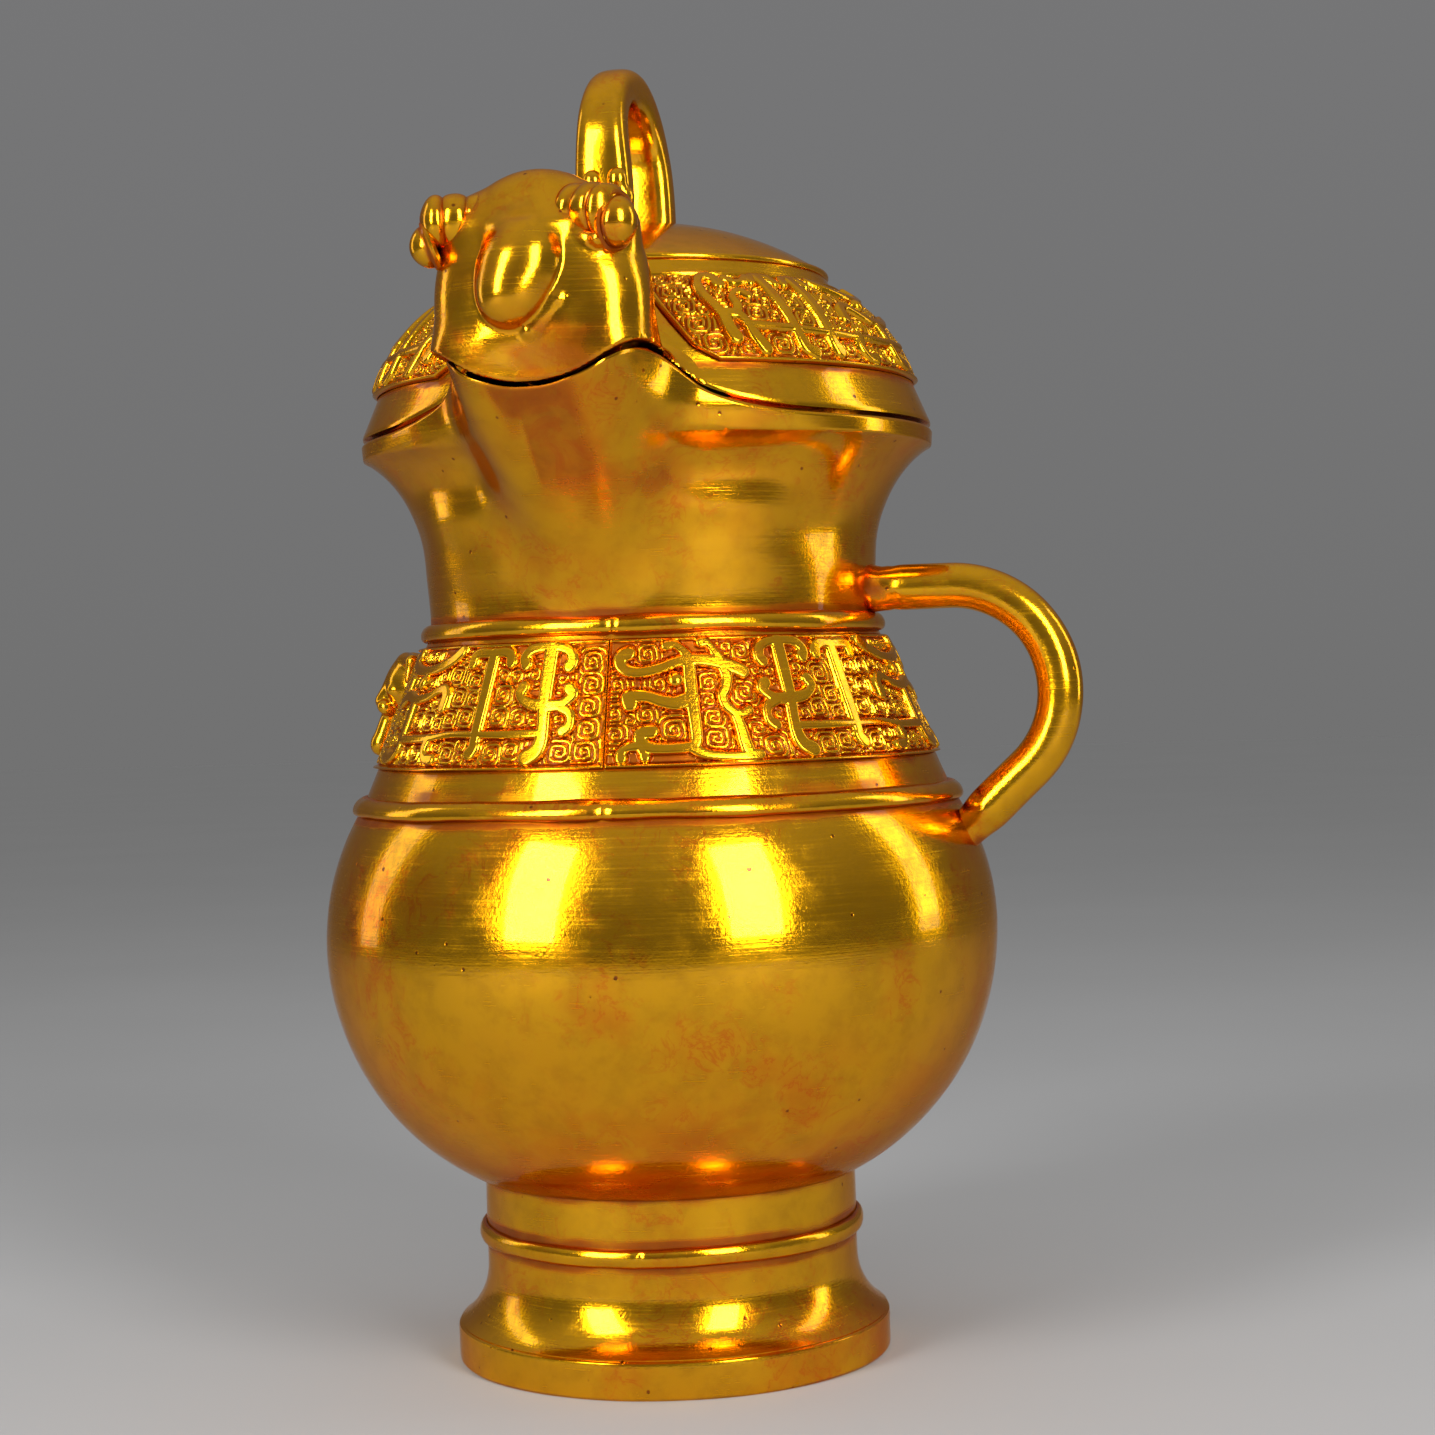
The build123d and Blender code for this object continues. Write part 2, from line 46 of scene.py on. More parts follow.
# Sizes of the part that the looks follow
wall = 3.0
foot_wall = 4.0
braze_gap = 0.1
lid_gap = 1.2
foot_radius = 56.0
flange_height = 9.5
sweep_height = 14.5
stem_radius = 48.0
foot_height = 47.0
foot_cord_height = 32.8
joint_radius = 49.5
belly_radius = 86.6
belly_z = 107.5
shoulder_radius = 76.0
lower_cord_z = 143.0
frieze_z = 152.5
frieze_top = 183.0
upper_cord_z = 186.5
seam_angle = 6.0
seam_turn = 0.3
cord_height = 4.8
cord_depth = 2.6
neck_radius = 57.5
flare_z = 203.0
flare_height = 28.0
flare_end = 73.0
rim_z = 235.0
rim_band = 4.0
spout_reach = 97.6
keel_z = 198.0
lip_rise = 4.6
handle_thickness = 11.6
handle_reach = 105.0
handle_bend = 27.0
handle_z = 194.5
handle_drop_angle = 43.0
lid_z = rim_z + lid_gap
lid_edge_radius = 73.5
band_top_radius = 69.2
panel_z = 246.2
crown_radius = 49.5
crown_z = 270.2
panel_bulge = 3.4
dome_radius = 47.5
dome_z = 275.7
dome_top = 290.2
bail_front = 33.0
bail_rear = 5.5
bail_top = 327.7
bail_thickness = 10.0

# Sizes worked out from the ones above


def arc_radius(rise, half_chord):
    """Radius of an arc that rises this far over half of its chord."""
    return (half_chord**2 + rise**2) / (2 * rise)


flare_arc = arc_radius(flare_end - neck_radius, flare_height)
flare_centre = neck_radius + flare_arc
keel_slope = (spout_reach - neck_radius) / (rim_z + lip_rise - keel_z)
slope_run = band_top_radius - crown_radius
slope_rise = crown_z - panel_z
slope_chord = hypot(slope_run, slope_rise)
slope_arc = arc_radius(panel_bulge, slope_chord / 2)
slope_lean = atan2(slope_run, slope_rise)
slope_half = asin(slope_chord / 2 / slope_arc)
slope_r = (band_top_radius + crown_radius) / 2 - cos(slope_lean) * (slope_arc - panel_bulge)
slope_z = (panel_z + crown_z) / 2 - sin(slope_lean) * (slope_arc - panel_bulge)
dome_arc = arc_radius(dome_top - dome_z, dome_radius)
sweep_arc = arc_radius(foot_radius - stem_radius, sweep_height)
lower_arc = arc_radius(belly_radius - joint_radius, belly_z - foot_height)
upper_arc = arc_radius(belly_radius - shoulder_radius, lower_cord_z - belly_z)
shoulder_lean = (shoulder_radius - neck_radius) / (upper_cord_z - lower_cord_z)


# Small mathematical helpers


def ramp(low, high, value):
    """Rises smoothly from 0 at low to 1 at high."""
    share = np.clip((value - low) / (high - low), 0, 1)
    return share * share * (3 - 2 * share)


def soft_min(first, second, blend):
    """Smaller of two distances, faired over a blend width."""
    near = np.clip(blend - np.abs(first - second), 0, None) / blend
    return np.minimum(first, second) - near * near * blend / 4


def soft_max(first, second, blend):
    """Larger of two distances, faired over a blend width."""
    return -soft_min(-first, -second, blend)


wave_count = 10
wave_directions = rng.normal(size=(3, wave_count))
wave_phases = rng.uniform(0, 2 * pi, wave_count)


def uneven(points, length):
    """Smooth unevenness of a hand-finished surface, about -1 to 1, over waves of that length."""
    waves = np.sin(points @ wave_directions * (2 * pi / length / 1.7) + wave_phases)
    return np.clip(2 * waves.mean(axis=-1), -1, 1)


def stacked(*coordinates):
    """One array of points from arrays of coordinates."""
    return np.stack(coordinates, axis=-1)


def smooth_curve(path, steps):
    """Points on a smooth curve through the given points."""
    path = np.asarray(path, float)
    ends = np.vstack([2 * path[0] - path[1], path, 2 * path[-1] - path[-2]])
    share = np.linspace(0, 1, steps, endpoint=False)[:, None]
    spans = []
    for before, start, end, after in zip(ends[:-3], ends[1:-2], ends[2:-1], ends[3:]):
        bend = 2 * before - 5 * start + 4 * end - after
        twist = 3 * start - before - 3 * end + after
        spans.append(start + 0.5 * ((end - before) * share + bend * share**2 + twist * share**3))
    return np.vstack([*spans, path[-1:]])


def arc(centre, radius, start, end, count):
    """Points of an arc in a radius and height outline, between two angles in radians."""
    turn = np.linspace(start, end, count)
    return stacked(centre[0] + radius * np.cos(turn), centre[1] + radius * np.sin(turn))


def on_circle(radius, angle, height):
    """Points in space from radius, angle from the spout in radians, and height."""
    radius, angle, height = np.broadcast_arrays(radius, angle, height)
    return stacked(radius * np.sin(angle), -radius * np.cos(angle), height)


# Meshes


def grid_faces(points, wrap_rows=False, wrap_columns=True):
    """Quads of a grid of points, closed round in either direction."""
    rows, columns = points.shape[:2]
    index = np.arange(rows * columns).reshape(rows, columns)
    if wrap_rows:
        index = np.vstack([index, index[:1]])
    if wrap_columns:
        index = np.hstack([index, index[:, :1]])
    quads = stacked(index[:-1, :-1], index[:-1, 1:], index[1:, 1:], index[1:, :-1])
    return quads.reshape(-1, 4)


def add_piece(name, points, faces, body, node, material, recess=None, crease=38):
    """Mesh object in millimetre points that rides on a body and stands for a node of the part."""
    points = points.reshape(-1, 3)
    mesh = bpy.data.meshes.new(name)
    mesh.from_pydata((points * MM).tolist(), [], [list(map(int, face)) for face in faces])
    if recess is not None:
        layer = mesh.attributes.new("recess", "FLOAT", "POINT")
        layer.data.foreach_set("value", np.asarray(recess, np.float32).ravel())
    work = bmesh.new()
    work.from_mesh(mesh)
    bmesh.ops.remove_doubles(work, verts=work.verts, dist=1e-7)
    bmesh.ops.recalc_face_normals(work, faces=work.faces)
    work.to_mesh(mesh)
    work.free()
    mesh.shade_smooth()
    mesh.set_sharp_from_angle(angle=radians(crease))
    mesh.materials.append(material)
    piece = bpy.data.objects.new(name, mesh)
    bpy.context.collection.objects.link(piece)
    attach(piece, body)
    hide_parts(node)


def uneven_ring(radius, angle, height, depth, length):
    """Points round the axis whose surface sinks unevenly, by twice the depth at most."""
    sink = depth * (uneven(on_circle(radius, angle, height), length) - 1)
    return on_circle(np.maximum(radius + sink, 0), angle, height)


def turned(outline, segments, ripple, ripple_length):
    """Points of an outline turned round the axis, with a slightly uneven skin."""
    angle = np.arange(segments) * 2 * pi / segments
    return uneven_ring(outline[:, :1], angle, outline[:, 1:], ripple / 2, ripple_length)


def tube(path, section, sideways):
    """Points and faces of a closed bar: a section carried along a path, with capped ends.

    The section gives, for each path point, offsets along sideways and along the bar's own normal."""
    along = np.gradient(path, axis=0)
    along /= np.linalg.norm(along, axis=1, keepdims=True)
    normal = np.cross(along, sideways)
    points = path[:, None] + section[..., :1] * sideways + section[..., 1:] * normal[:, None]
    rows, columns = section.shape[:2]
    faces = list(grid_faces(points))
    faces.append(list(range(columns)))
    faces.append(list(range((rows - 1) * columns, rows * columns)))
    return points, faces


def surface_net(field, low, high, step):
    """Points and quads of the surface on which a distance field is zero, inside a box."""
    axes = [np.arange(start, stop + step, step) for start, stop in zip(low, high)]
    inside = field(stacked(*np.meshgrid(*axes, indexing="ij"))) < 0
    ends = (slice(None, -1), slice(1, None))
    filled = sum(inside[i, j, k].astype(int) for i in ends for j in ends for k in ends)
    crossed = (filled > 0) & (filled < 8)
    index = np.cumsum(crossed).reshape(crossed.shape) - 1
    points = np.asarray(low, float) + (np.argwhere(crossed) + 0.5) * step
    probe = step / 4
    for _ in range(5):
        rises = [field(points + probe * way) - field(points - probe * way) for way in np.eye(3)]
        slope = stacked(*rises) / (2 * probe)
        steep = np.maximum((slope**2).sum(axis=-1, keepdims=True), 0.05)
        points -= np.clip(field(points)[:, None] * slope / steep, -step / 2, step / 2)
    quads = []
    for order in ((0, 1, 2), (1, 2, 0), (2, 0, 1)):
        full = inside.transpose(order)
        cell = index.transpose(order)
        i, j, k = np.nonzero(full[1:, 1:-1, 1:-1] != full[:-1, 1:-1, 1:-1])
        j, k = j + 1, k + 1
        ring = stacked(cell[i, j - 1, k - 1], cell[i, j, k - 1], cell[i, j, k], cell[i, j - 1, k])
        quads.append(np.where(full[i, j, k][:, None], ring, ring[:, ::-1]))
    return points, np.vstack(quads)


# Relief ornament: ribbons over a ground of packed spirals

ribbon_rise = 2.0
ribbon_round = 1.0
ground_low = 0.35
spiral_rise = 0.75
spiral_pitch = 1.3
largest_spiral = 2.75
smallest_spiral = 1.3
border_width = 1.1
border_rise = 1.1
boss_rise = 1.2
plate_back_rows = slice(20, -1, 20)  # rows of a plate's front grid that its plain back needs


def ribbon_distance(across, up, ribbons, reach=4.5):
    """Distance of grid points from the edges of the nearest ribbon, negative inside it."""
    nearest = np.full(across.shape, reach)
    for half_width, path in ribbons:
        curve = smooth_curve(path, 6)
        swelling = 1 + 0.12 * np.cos(2 * pi * np.linspace(0, 1, len(curve)))
        low = curve.min(axis=0) - reach - half_width
        high = curve.max(axis=0) + reach + half_width
        close = (across > low[0]) & (across < high[0]) & (up > low[1]) & (up < high[1])
        if not close.any():
            continue
        x, y = across[close], up[close]
        best = np.full(x.shape, 2 * reach)
        for start, step, swell in zip(curve[:-1], np.diff(curve, axis=0), swelling):
            share = ((x - start[0]) * step[0] + (y - start[1]) * step[1]) / max(step @ step, 1e-9)
            share = np.clip(share, 0, 1)
            gap = np.hypot(x - start[0] - share * step[0], y - start[1] - share * step[1])
            best = np.minimum(best, gap - half_width * swell)
        nearest[close] = np.minimum(nearest[close], best)
    return nearest


def square_radius(x, y):
    """Radius measured so that its circles are squares with round corners."""
    return (np.abs(x) ** 3.5 + np.abs(y) ** 3.5) ** (1 / 3.5)


def pack_spirals(across, up, room):
    """Middles and sizes of round-cornered squares that fill the free ground, largest first."""
    room = np.minimum(room, largest_spiral)
    spots = []
    while True:
        best = np.unravel_index(room.argmax(), room.shape)
        size = room[best]
        if size < smallest_spiral:
            return spots
        x, y = across[best], up[best]
        spots.append((x, y, size))
        room = np.minimum(room, square_radius(across - x, up - y) - size)


def spiral_ground(across, up, spots):
    """Height of spiral lines from 0 to 1, each point following its nearest spiral."""
    nearest = np.full(across.shape, 99.0)
    line = np.zeros(across.shape)
    for number, (x, y, size) in enumerate(spots):
        reach = size + 2.5
        close = (np.abs(across - x) < reach) & (np.abs(up - y) < reach)
        dx, dy = across[close] - x, up[close] - y
        radius = square_radius(dx, dy)
        hand = 1 if number % 2 else -1
        turn = radius / spiral_pitch - hand * np.arctan2(dy, dx) / (2 * pi)
        wave = 0.5 + 0.5 * np.cos(2 * pi * turn)
        gap = radius - size
        won = gap < nearest[close]
        nearest[close] = np.where(won, gap, nearest[close])
        line[close] = np.where(won, wave, line[close])
    return ramp(0.1, 0.62, line)


def relief(across, up, edge, ribbons, bosses):
    """Heights over the wall, and how deep each point lies in the recesses, from 0 to 1."""
    gap = ribbon_distance(across, up, ribbons)
    for x, y, radius in bosses:
        gap = np.minimum(gap, np.hypot(across - x, up - y) - radius)
    coarse = (slice(None, None, 2), slice(None, None, 2))
    room = np.minimum(gap, edge - border_width - 0.3)[coarse]
    spots = pack_spirals(across[coarse], up[coarse], room - 0.25)
    lines = spiral_ground(across, up, spots) * ramp(0.25, 0.8, gap)
    lines = lines * ramp(border_width + 0.2, border_width + 0.7, edge)
    height = ground_low + spiral_rise * lines
    shoulder = 1 - np.clip((0.25 - gap) / ribbon_round, 0, 1)
    height = np.maximum(height, ground_low + (ribbon_rise - ground_low) * np.sqrt(1 - shoulder**2))
    border = ramp(border_width + 0.3, border_width - 0.4, edge) * ramp(0, 0.4, edge)
    height = np.maximum(height, ground_low + border_rise * border)
    for x, y, radius in bosses:
        dome = 1 - ((across - x) ** 2 + (up - y) ** 2) / radius**2
        boss = ribbon_rise - 0.4 + boss_rise * np.sqrt(np.clip(dome, 0, 1))
        height = np.where(dome > 0, np.maximum(height, boss), height)
    recess = 1 - ramp(ground_low + 0.05, ground_low + 0.6, height)
    return height, recess


def add_plate(name, place, flat, ornament, body, node):
    """Closed relief plate in two meshes, to keep each light.

    Place gives the points at heights over the wall, and flat their lengths across, up and to the edge."""
    lift, recess = relief(*flat, *ornament)
    lift[[0, -1]] = braze_gap
    back = place(braze_gap)[plate_back_rows]
    points = np.concatenate([place(lift), back[::-1]])
    recess = np.concatenate([recess, np.ones(back.shape[:2])])
    middle = points.shape[1] // 2
    for end, part in (("near", slice(0, middle + 1)), ("far", slice(middle, None))):
        half = points[:, part]
        rows, columns = half.shape[:2]
        faces = list(grid_faces(half, wrap_rows=True, wrap_columns=False))
        faces.append([row * columns for row in range(rows)])
        faces.append([row * columns + columns - 1 for row in range(rows)])
        add_piece(f"{name}_{end}", half, faces, body, node, relief_gilt, recess[:, part], crease=80)


def shoulder_at(height):
    """Radius of the straight shoulder at a height between the two cords."""
    share = (height - lower_cord_z) / (upper_cord_z - lower_cord_z)
    return shoulder_radius + share * (neck_radius - shoulder_radius)


# Materials


def feed(tree, socket, value):
    """Links a socket to another node's output, or sets it to a constant."""
    if isinstance(value, bpy.types.NodeSocket):
        tree.links.new(value, socket)
    else:
        socket.default_value = value


def shader_node(tree, kind, settings=None, **inputs):
    """New shader node with its settings, constant inputs and links."""
    node = tree.nodes.new("ShaderNode" + kind)
    for key, value in (settings or {}).items():
        setattr(node, key, value)
    for key, value in inputs.items():
        feed(tree, node.inputs[key.replace("_", " ")], value)
    return node


def shade_noise(tree, place, scale, detail, roughness, distortion=0.0):
    """Cloudy noise, about 0 to 1."""
    look = {"Scale": scale, "Detail": detail, "Roughness": roughness, "Distortion": distortion}
    return shader_node(tree, "TexNoise", Vector=place, **look).outputs["Fac"]


def shade_ramp(tree, factor, low, high):
    """Factor stretched so that low becomes 0 and high becomes 1, smoothly."""
    smooth = {"interpolation_type": "SMOOTHSTEP"}
    node = shader_node(tree, "MapRange", smooth, Value=factor, From_Min=low, From_Max=high)
    return node.outputs["Result"]


def shade_math(tree, operation, *values):
    """Result of a sum on factors or numbers."""
    node = shader_node(tree, "Math", {"operation": operation})
    for socket, value in zip(node.inputs, values):
        feed(tree, socket, value)
    return node.outputs["Value"]


def shade_mix(tree, factor, first, second):
    """Colour between two colours."""
    node = shader_node(tree, "Mix", {"data_type": "RGBA"}, Factor=factor)
    for name, value in (("A", first), ("B", second)):
        feed(tree, next(s for s in node.inputs if s.name == name and s.type == "RGBA"), value)
    return next(s for s in node.outputs if s.type == "RGBA")


gold = (0.86, 0.41, 0.004, 1)
old_gold = (0.56, 0.255, 0.003, 1)
orange_patina = (0.80, 0.19, 0.002, 1)
vein_red = (0.78, 0.14, 0.004, 1)
recess_brown = (0.30, 0.065, 0.003, 1)
glancing_tint = (0.85, 0.5, 0.12, 1)
recess_share = 0.9  # strength of the patina in recesses
polish_lines = (40, 40, 1900)  # waves of the polishing marks per metre
polish_lean = (0.12, 0.07, 0)


def gilt_colour(tree, in_mm, mottle, worn, recess, pits, patina):
    """Mottled gold with orange patches and veins, orange stains and brown recesses and pits."""
    patches = shade_noise(tree, in_mm, 0.03, 6.0, 0.62)
    crackle = shade_noise(tree, in_mm, 0.10, 5.0, 0.65, 0.8)
    off_middle = shade_math(tree, "ABSOLUTE", shade_math(tree, "SUBTRACT", crackle, 0.5))
    veins = shade_math(tree, "MULTIPLY", shade_ramp(tree, off_middle, 0.022, 0.004), patina)
    veins = shade_math(tree, "MULTIPLY", veins, shade_ramp(tree, patches, 0.46, 0.62))
    patch = shade_math(tree, "MULTIPLY", shade_ramp(tree, patches, 0.5, 0.72), patina)
    flecked = shade_math(tree, "MULTIPLY_ADD", shade_ramp(tree, crackle, 0.38, 0.62), 0.9, 0.5)
    flecked = shade_math(tree, "MULTIPLY", flecked, shade_math(tree, "MULTIPLY", recess, recess_share))
    broken = shade_math(tree, "MULTIPLY_ADD", mottle, 0.9, 0.5)
    deep = shade_math(tree, "MULTIPLY", shade_ramp(tree, recess, 0.35, 1.0), recess_share)
    deep = shade_math(tree, "MULTIPLY", deep, broken)
    colour = shade_mix(tree, shade_math(tree, "MULTIPLY", worn, 0.55), gold, old_gold)
    colour = shade_mix(tree, shade_math(tree, "MAXIMUM", patch, flecked), colour, orange_patina)
    colour = shade_mix(tree, veins, colour, vein_red)
    return shade_mix(tree, shade_math(tree, "MAXIMUM", deep, pits), colour, recess_brown)


def bronze(name, patina):
    """Gilt cast bronze with patina, pits and polish lines, dark and dull where a mesh has recess values."""
    material = bpy.data.materials.new(name)
    material.use_nodes = True
    tree = material.node_tree
    place = shader_node(tree, "TexCoord").outputs["Object"]
    in_mm = shader_node(tree, "Mapping", Vector=place, Scale=(1000, 1000, 1000)).outputs["Vector"]
    lines = shader_node(tree, "Mapping", Vector=place, Scale=polish_lines, Rotation=polish_lean)
    polish = shade_noise(tree, lines.outputs["Vector"], 1.0, 3.0, 0.6)
    grain = shade_noise(tree, in_mm, 1.1, 3.0, 0.55)
    mottle = shade_noise(tree, in_mm, 0.13, 5.0, 0.6)
    worn = shade_ramp(tree, mottle, 0.38, 0.72)
    pores = shader_node(tree, "TexVoronoi", Vector=in_mm, Scale=0.12, Randomness=1.0)
    pits = shade_ramp(tree, pores.outputs["Distance"], 0.075, 0.03)
    recess = shader_node(tree, "Attribute", {"attribute_name": "recess"}).outputs["Fac"]
    rough = shade_math(tree, "MULTIPLY_ADD", worn, 0.12, 0.12)
    rough = shade_math(tree, "MULTIPLY_ADD", shade_ramp(tree, polish, 0.45, 0.75), 0.09, rough)
    rough = shade_math(tree, "MULTIPLY_ADD", shade_ramp(tree, recess, 0.3, 1.0), 0.28, rough)
    height = shade_math(tree, "MULTIPLY_ADD", polish, 0.34, shade_math(tree, "MULTIPLY", grain, 0.45))
    height = shade_math(tree, "SUBTRACT", height, shade_math(tree, "MULTIPLY", pits, 1.6))
    bump = shader_node(tree, "Bump", Strength=0.22, Distance=0.0004, Height=height)
    look = {
        "Base Color": gilt_colour(tree, in_mm, mottle, worn, recess, pits, patina),
        "Roughness": rough,
        "Normal": bump.outputs["Normal"],
        "Metallic": 1.0,
        "Specular Tint": glancing_tint,
        "Coat Weight": 0.28,
        "Coat Roughness": 0.06,
    }
    for key, value in look.items():
        feed(tree, tree.nodes["Principled BSDF"].inputs[key], value)
    return material


gilt = bronze("gilt_look", 0.6)
relief_gilt = bronze("relief_look", 0.3)


# Vessel: foot, belly and cords


def cord_stain(points, heights, reach=2.2):
    """Recess values near the joints at these heights, where patina stays in the corners."""
    near = np.min([np.abs(points[..., 2] - height) for height in heights], axis=0)
    return ramp(reach, 0.2, near + 0.5 * uneven(points, 14))


sweep_start = asin(sweep_height / sweep_arc)
sweep_top = flange_height + sweep_height
foot_bore = foot_radius - foot_wall
stem_bore = stem_radius - foot_wall
foot_outline = np.vstack([
    np.linspace((foot_bore, 0.4), (foot_bore + 0.4, 0), 2),
    np.linspace((foot_radius - 0.8, 0), (foot_radius - 0.1, 0.7), 3),
    np.linspace((foot_radius, 1.6), (foot_radius, flange_height - 1), 6),
    np.linspace((foot_radius - 0.15, flange_height - 0.4), (foot_radius - 0.7, flange_height), 3),
    arc((stem_radius + sweep_arc, sweep_top), sweep_arc, pi + sweep_start, pi, 26)[1:],
    np.linspace((stem_radius, sweep_top + 1), (stem_radius, foot_height), 18),
    np.linspace((stem_bore, foot_height), (stem_bore, sweep_top), 8),
    np.linspace((foot_bore, flange_height - 1), (foot_bore, 0.4), 5)[:-1],
])
points = turned(foot_outline, 240, ripple=0.3, ripple_length=26)
stain = cord_stain(points, (foot_cord_height - 3, foot_cord_height + 3, foot_height))
add_piece("foot", points, grid_faces(points, wrap_rows=True), "vessel", "ring_foot", gilt, stain)

low_turn = -asin((belly_z - foot_height) / lower_arc)
high_turn = asin((lower_cord_z - belly_z) / upper_arc)
floor_turn = -asin((belly_z - foot_height - wall) / (lower_arc - wall))
lower_middle = (belly_radius - lower_arc, belly_z)
upper_middle = (belly_radius - upper_arc, belly_z)
belly_outline = np.vstack([
    [(0, foot_height)],
    np.linspace((20, foot_height), (joint_radius - 0.5, foot_height), 3),
    arc(lower_middle, lower_arc, low_turn, 0, 60),
    arc(upper_middle, upper_arc, 0, high_turn, 34)[1:],
    np.linspace((shoulder_radius, lower_cord_z), (neck_radius, upper_cord_z), 22)[1:],
    np.linspace((neck_radius - wall, upper_cord_z), (shoulder_radius - wall, lower_cord_z), 8),
    arc(upper_middle, upper_arc - wall, high_turn, 0, 14)[1:],
    arc(lower_middle, lower_arc - wall, 0, floor_turn, 24)[1:],
    [(0, foot_height + wall)],
])
points = turned(belly_outline, 256, ripple=0.34, ripple_length=46)
stain = cord_stain(points, (lower_cord_z - 3, lower_cord_z + 3, frieze_z, frieze_top, foot_height), 1.9)
# The belly's base darkens and turns orange: partly orange patina, partly painted shade for the shadowed
# floor that it reflects.
low_patina_and_shade = ramp(66, 50, points[..., 2]) * (0.48 + 0.28 * uneven(points, 24))
# Painted shade: the lower belly grows darker towards the bottom, partly for the shadowed floor that it
# reflects and partly as brown patina.
lower_shade_and_patina = ramp(100, 56, points[..., 2]) * (0.34 + 0.3 * uneven(points, 30))
stain = np.maximum.reduce([stain, low_patina_and_shade, lower_shade_and_patina])
add_piece("belly", points, grid_faces(points), "vessel", "belly_shell", gilt, stain)


def add_cord(name, node, radius, height, lean, depth):
    """Half-round cord laid on the wall, a little uneven, whose back follows a wall that leans in."""
    turn = np.linspace(-0.5 * pi, 0.5 * pi, 13)
    section = stacked(depth * np.cos(turn) ** 0.8, cord_height / 2 * np.sin(turn))
    section[:, 0] -= lean * section[:, 1]
    angle = np.linspace(0, 2 * pi, 300, endpoint=False)
    middle = on_circle(radius, angle, height)
    swell = 1 + 0.07 * uneven(middle, 30) + 0.05 * uneven(middle, 11)
    drift = 0.25 * uneven(middle, 47)
    seam = 1 - 0.35 * np.exp(-(((np.degrees(angle) - seam_angle) / 0.5) ** 2))
    outward = section[:, 0, None] * swell * seam
    points = on_circle(radius + outward, angle[None], height + drift + section[:, 1, None] * swell)
    foot_line = np.abs(section[:, 1, None]) / (cord_height / 2)
    stain = ramp(0.72, 1.0, foot_line + 0.1 * uneven(points, 9))
    add_piece(name, points, grid_faces(points, wrap_rows=True), "vessel", node, gilt, stain)


add_cord("cord_foot", "foot_cord", stem_radius, foot_cord_height, 0, 0.65 * cord_depth)
add_cord("cord_lower", "lower_cord", shoulder_radius, lower_cord_z, shoulder_lean, 0.95 * cord_depth)
add_cord("cord_upper", "upper_cord", neck_radius, upper_cord_z, shoulder_lean / 2, 0.95 * cord_depth)


# Dragon frieze. Ribbons are drawn as angle and height, with their half widths.

tail_dragon = [
    (1.6, [(-13.0, 177.6), (-13.6, 179.4), (-12, 181.2), (-8.5, 181.7),
           (-5, 181.4), (-2.7, 180.2), (-2.0, 178), (-2.6, 176.8)]),
    (1.9, [(-7.3, 181.4), (-7.3, 175), (-7.2, 168),
           (-6.8, 163), (-6.8, 159.5), (-7.6, 157), (-9.4, 155.6)]),
    (1.6, [(-7, 167.8), (-10, 168.1), (-12.2, 169.2), (-13.2, 170.8), (-12.6, 172.2)]),
    (1.6, [(-7, 167.6), (-4, 167.8), (-2.2, 168.8), (-1.2, 170.2), (-2.0, 171.6)]),
    (1.4, [(-4, 167.6), (-1.9, 166.2), (-1.2, 164.4), (-1.5, 162.6), (-2.6, 161.6)]),
    (1.1, [(-7, 161.2), (-15, 161.1), (-22, 161.2), (-30, 161.3), (-37, 160.5), (-48.3, 160.3)]),
    (1.6, [(-28.6, 178.4), (-28.4, 179.9), (-26.8, 180.8), (-22.6, 180.6),
           (-19.4, 180.8), (-17.6, 179.9), (-17.1, 178.3)]),
    (1.7, [(-22.5, 180.4), (-22.3, 161.2), (-22.0, 158.4), (-22.8, 156.8)]),
    (1.3, [(-36.6, 160.4), (-37.0, 158), (-36.0, 155.9), (-33.4, 155.4)]),
    (1.6, [(-33.6, 181.4), (-36, 179.6), (-40, 178.1), (-44, 177.2),
           (-50, 177), (-55, 178), (-57, 180), (-55.6, 181.2)]),
    (1.5, [(-34.9, 168), (-34.9, 170.8), (-36.2, 172.3), (-38.6, 172.1),
           (-42, 170.7), (-48, 170.0), (-53, 171), (-56.6, 169.4)]),
    (1.5, [(-48.4, 169.8), (-48.3, 160.3), (-49.4, 156.8), (-52.4, 155.6), (-55, 156.4)]),
    (1.2, [(-54.8, 174.8), (-54.9, 171.2)]),
]
tail_eye = (-46.6, 174.2, 2.0)
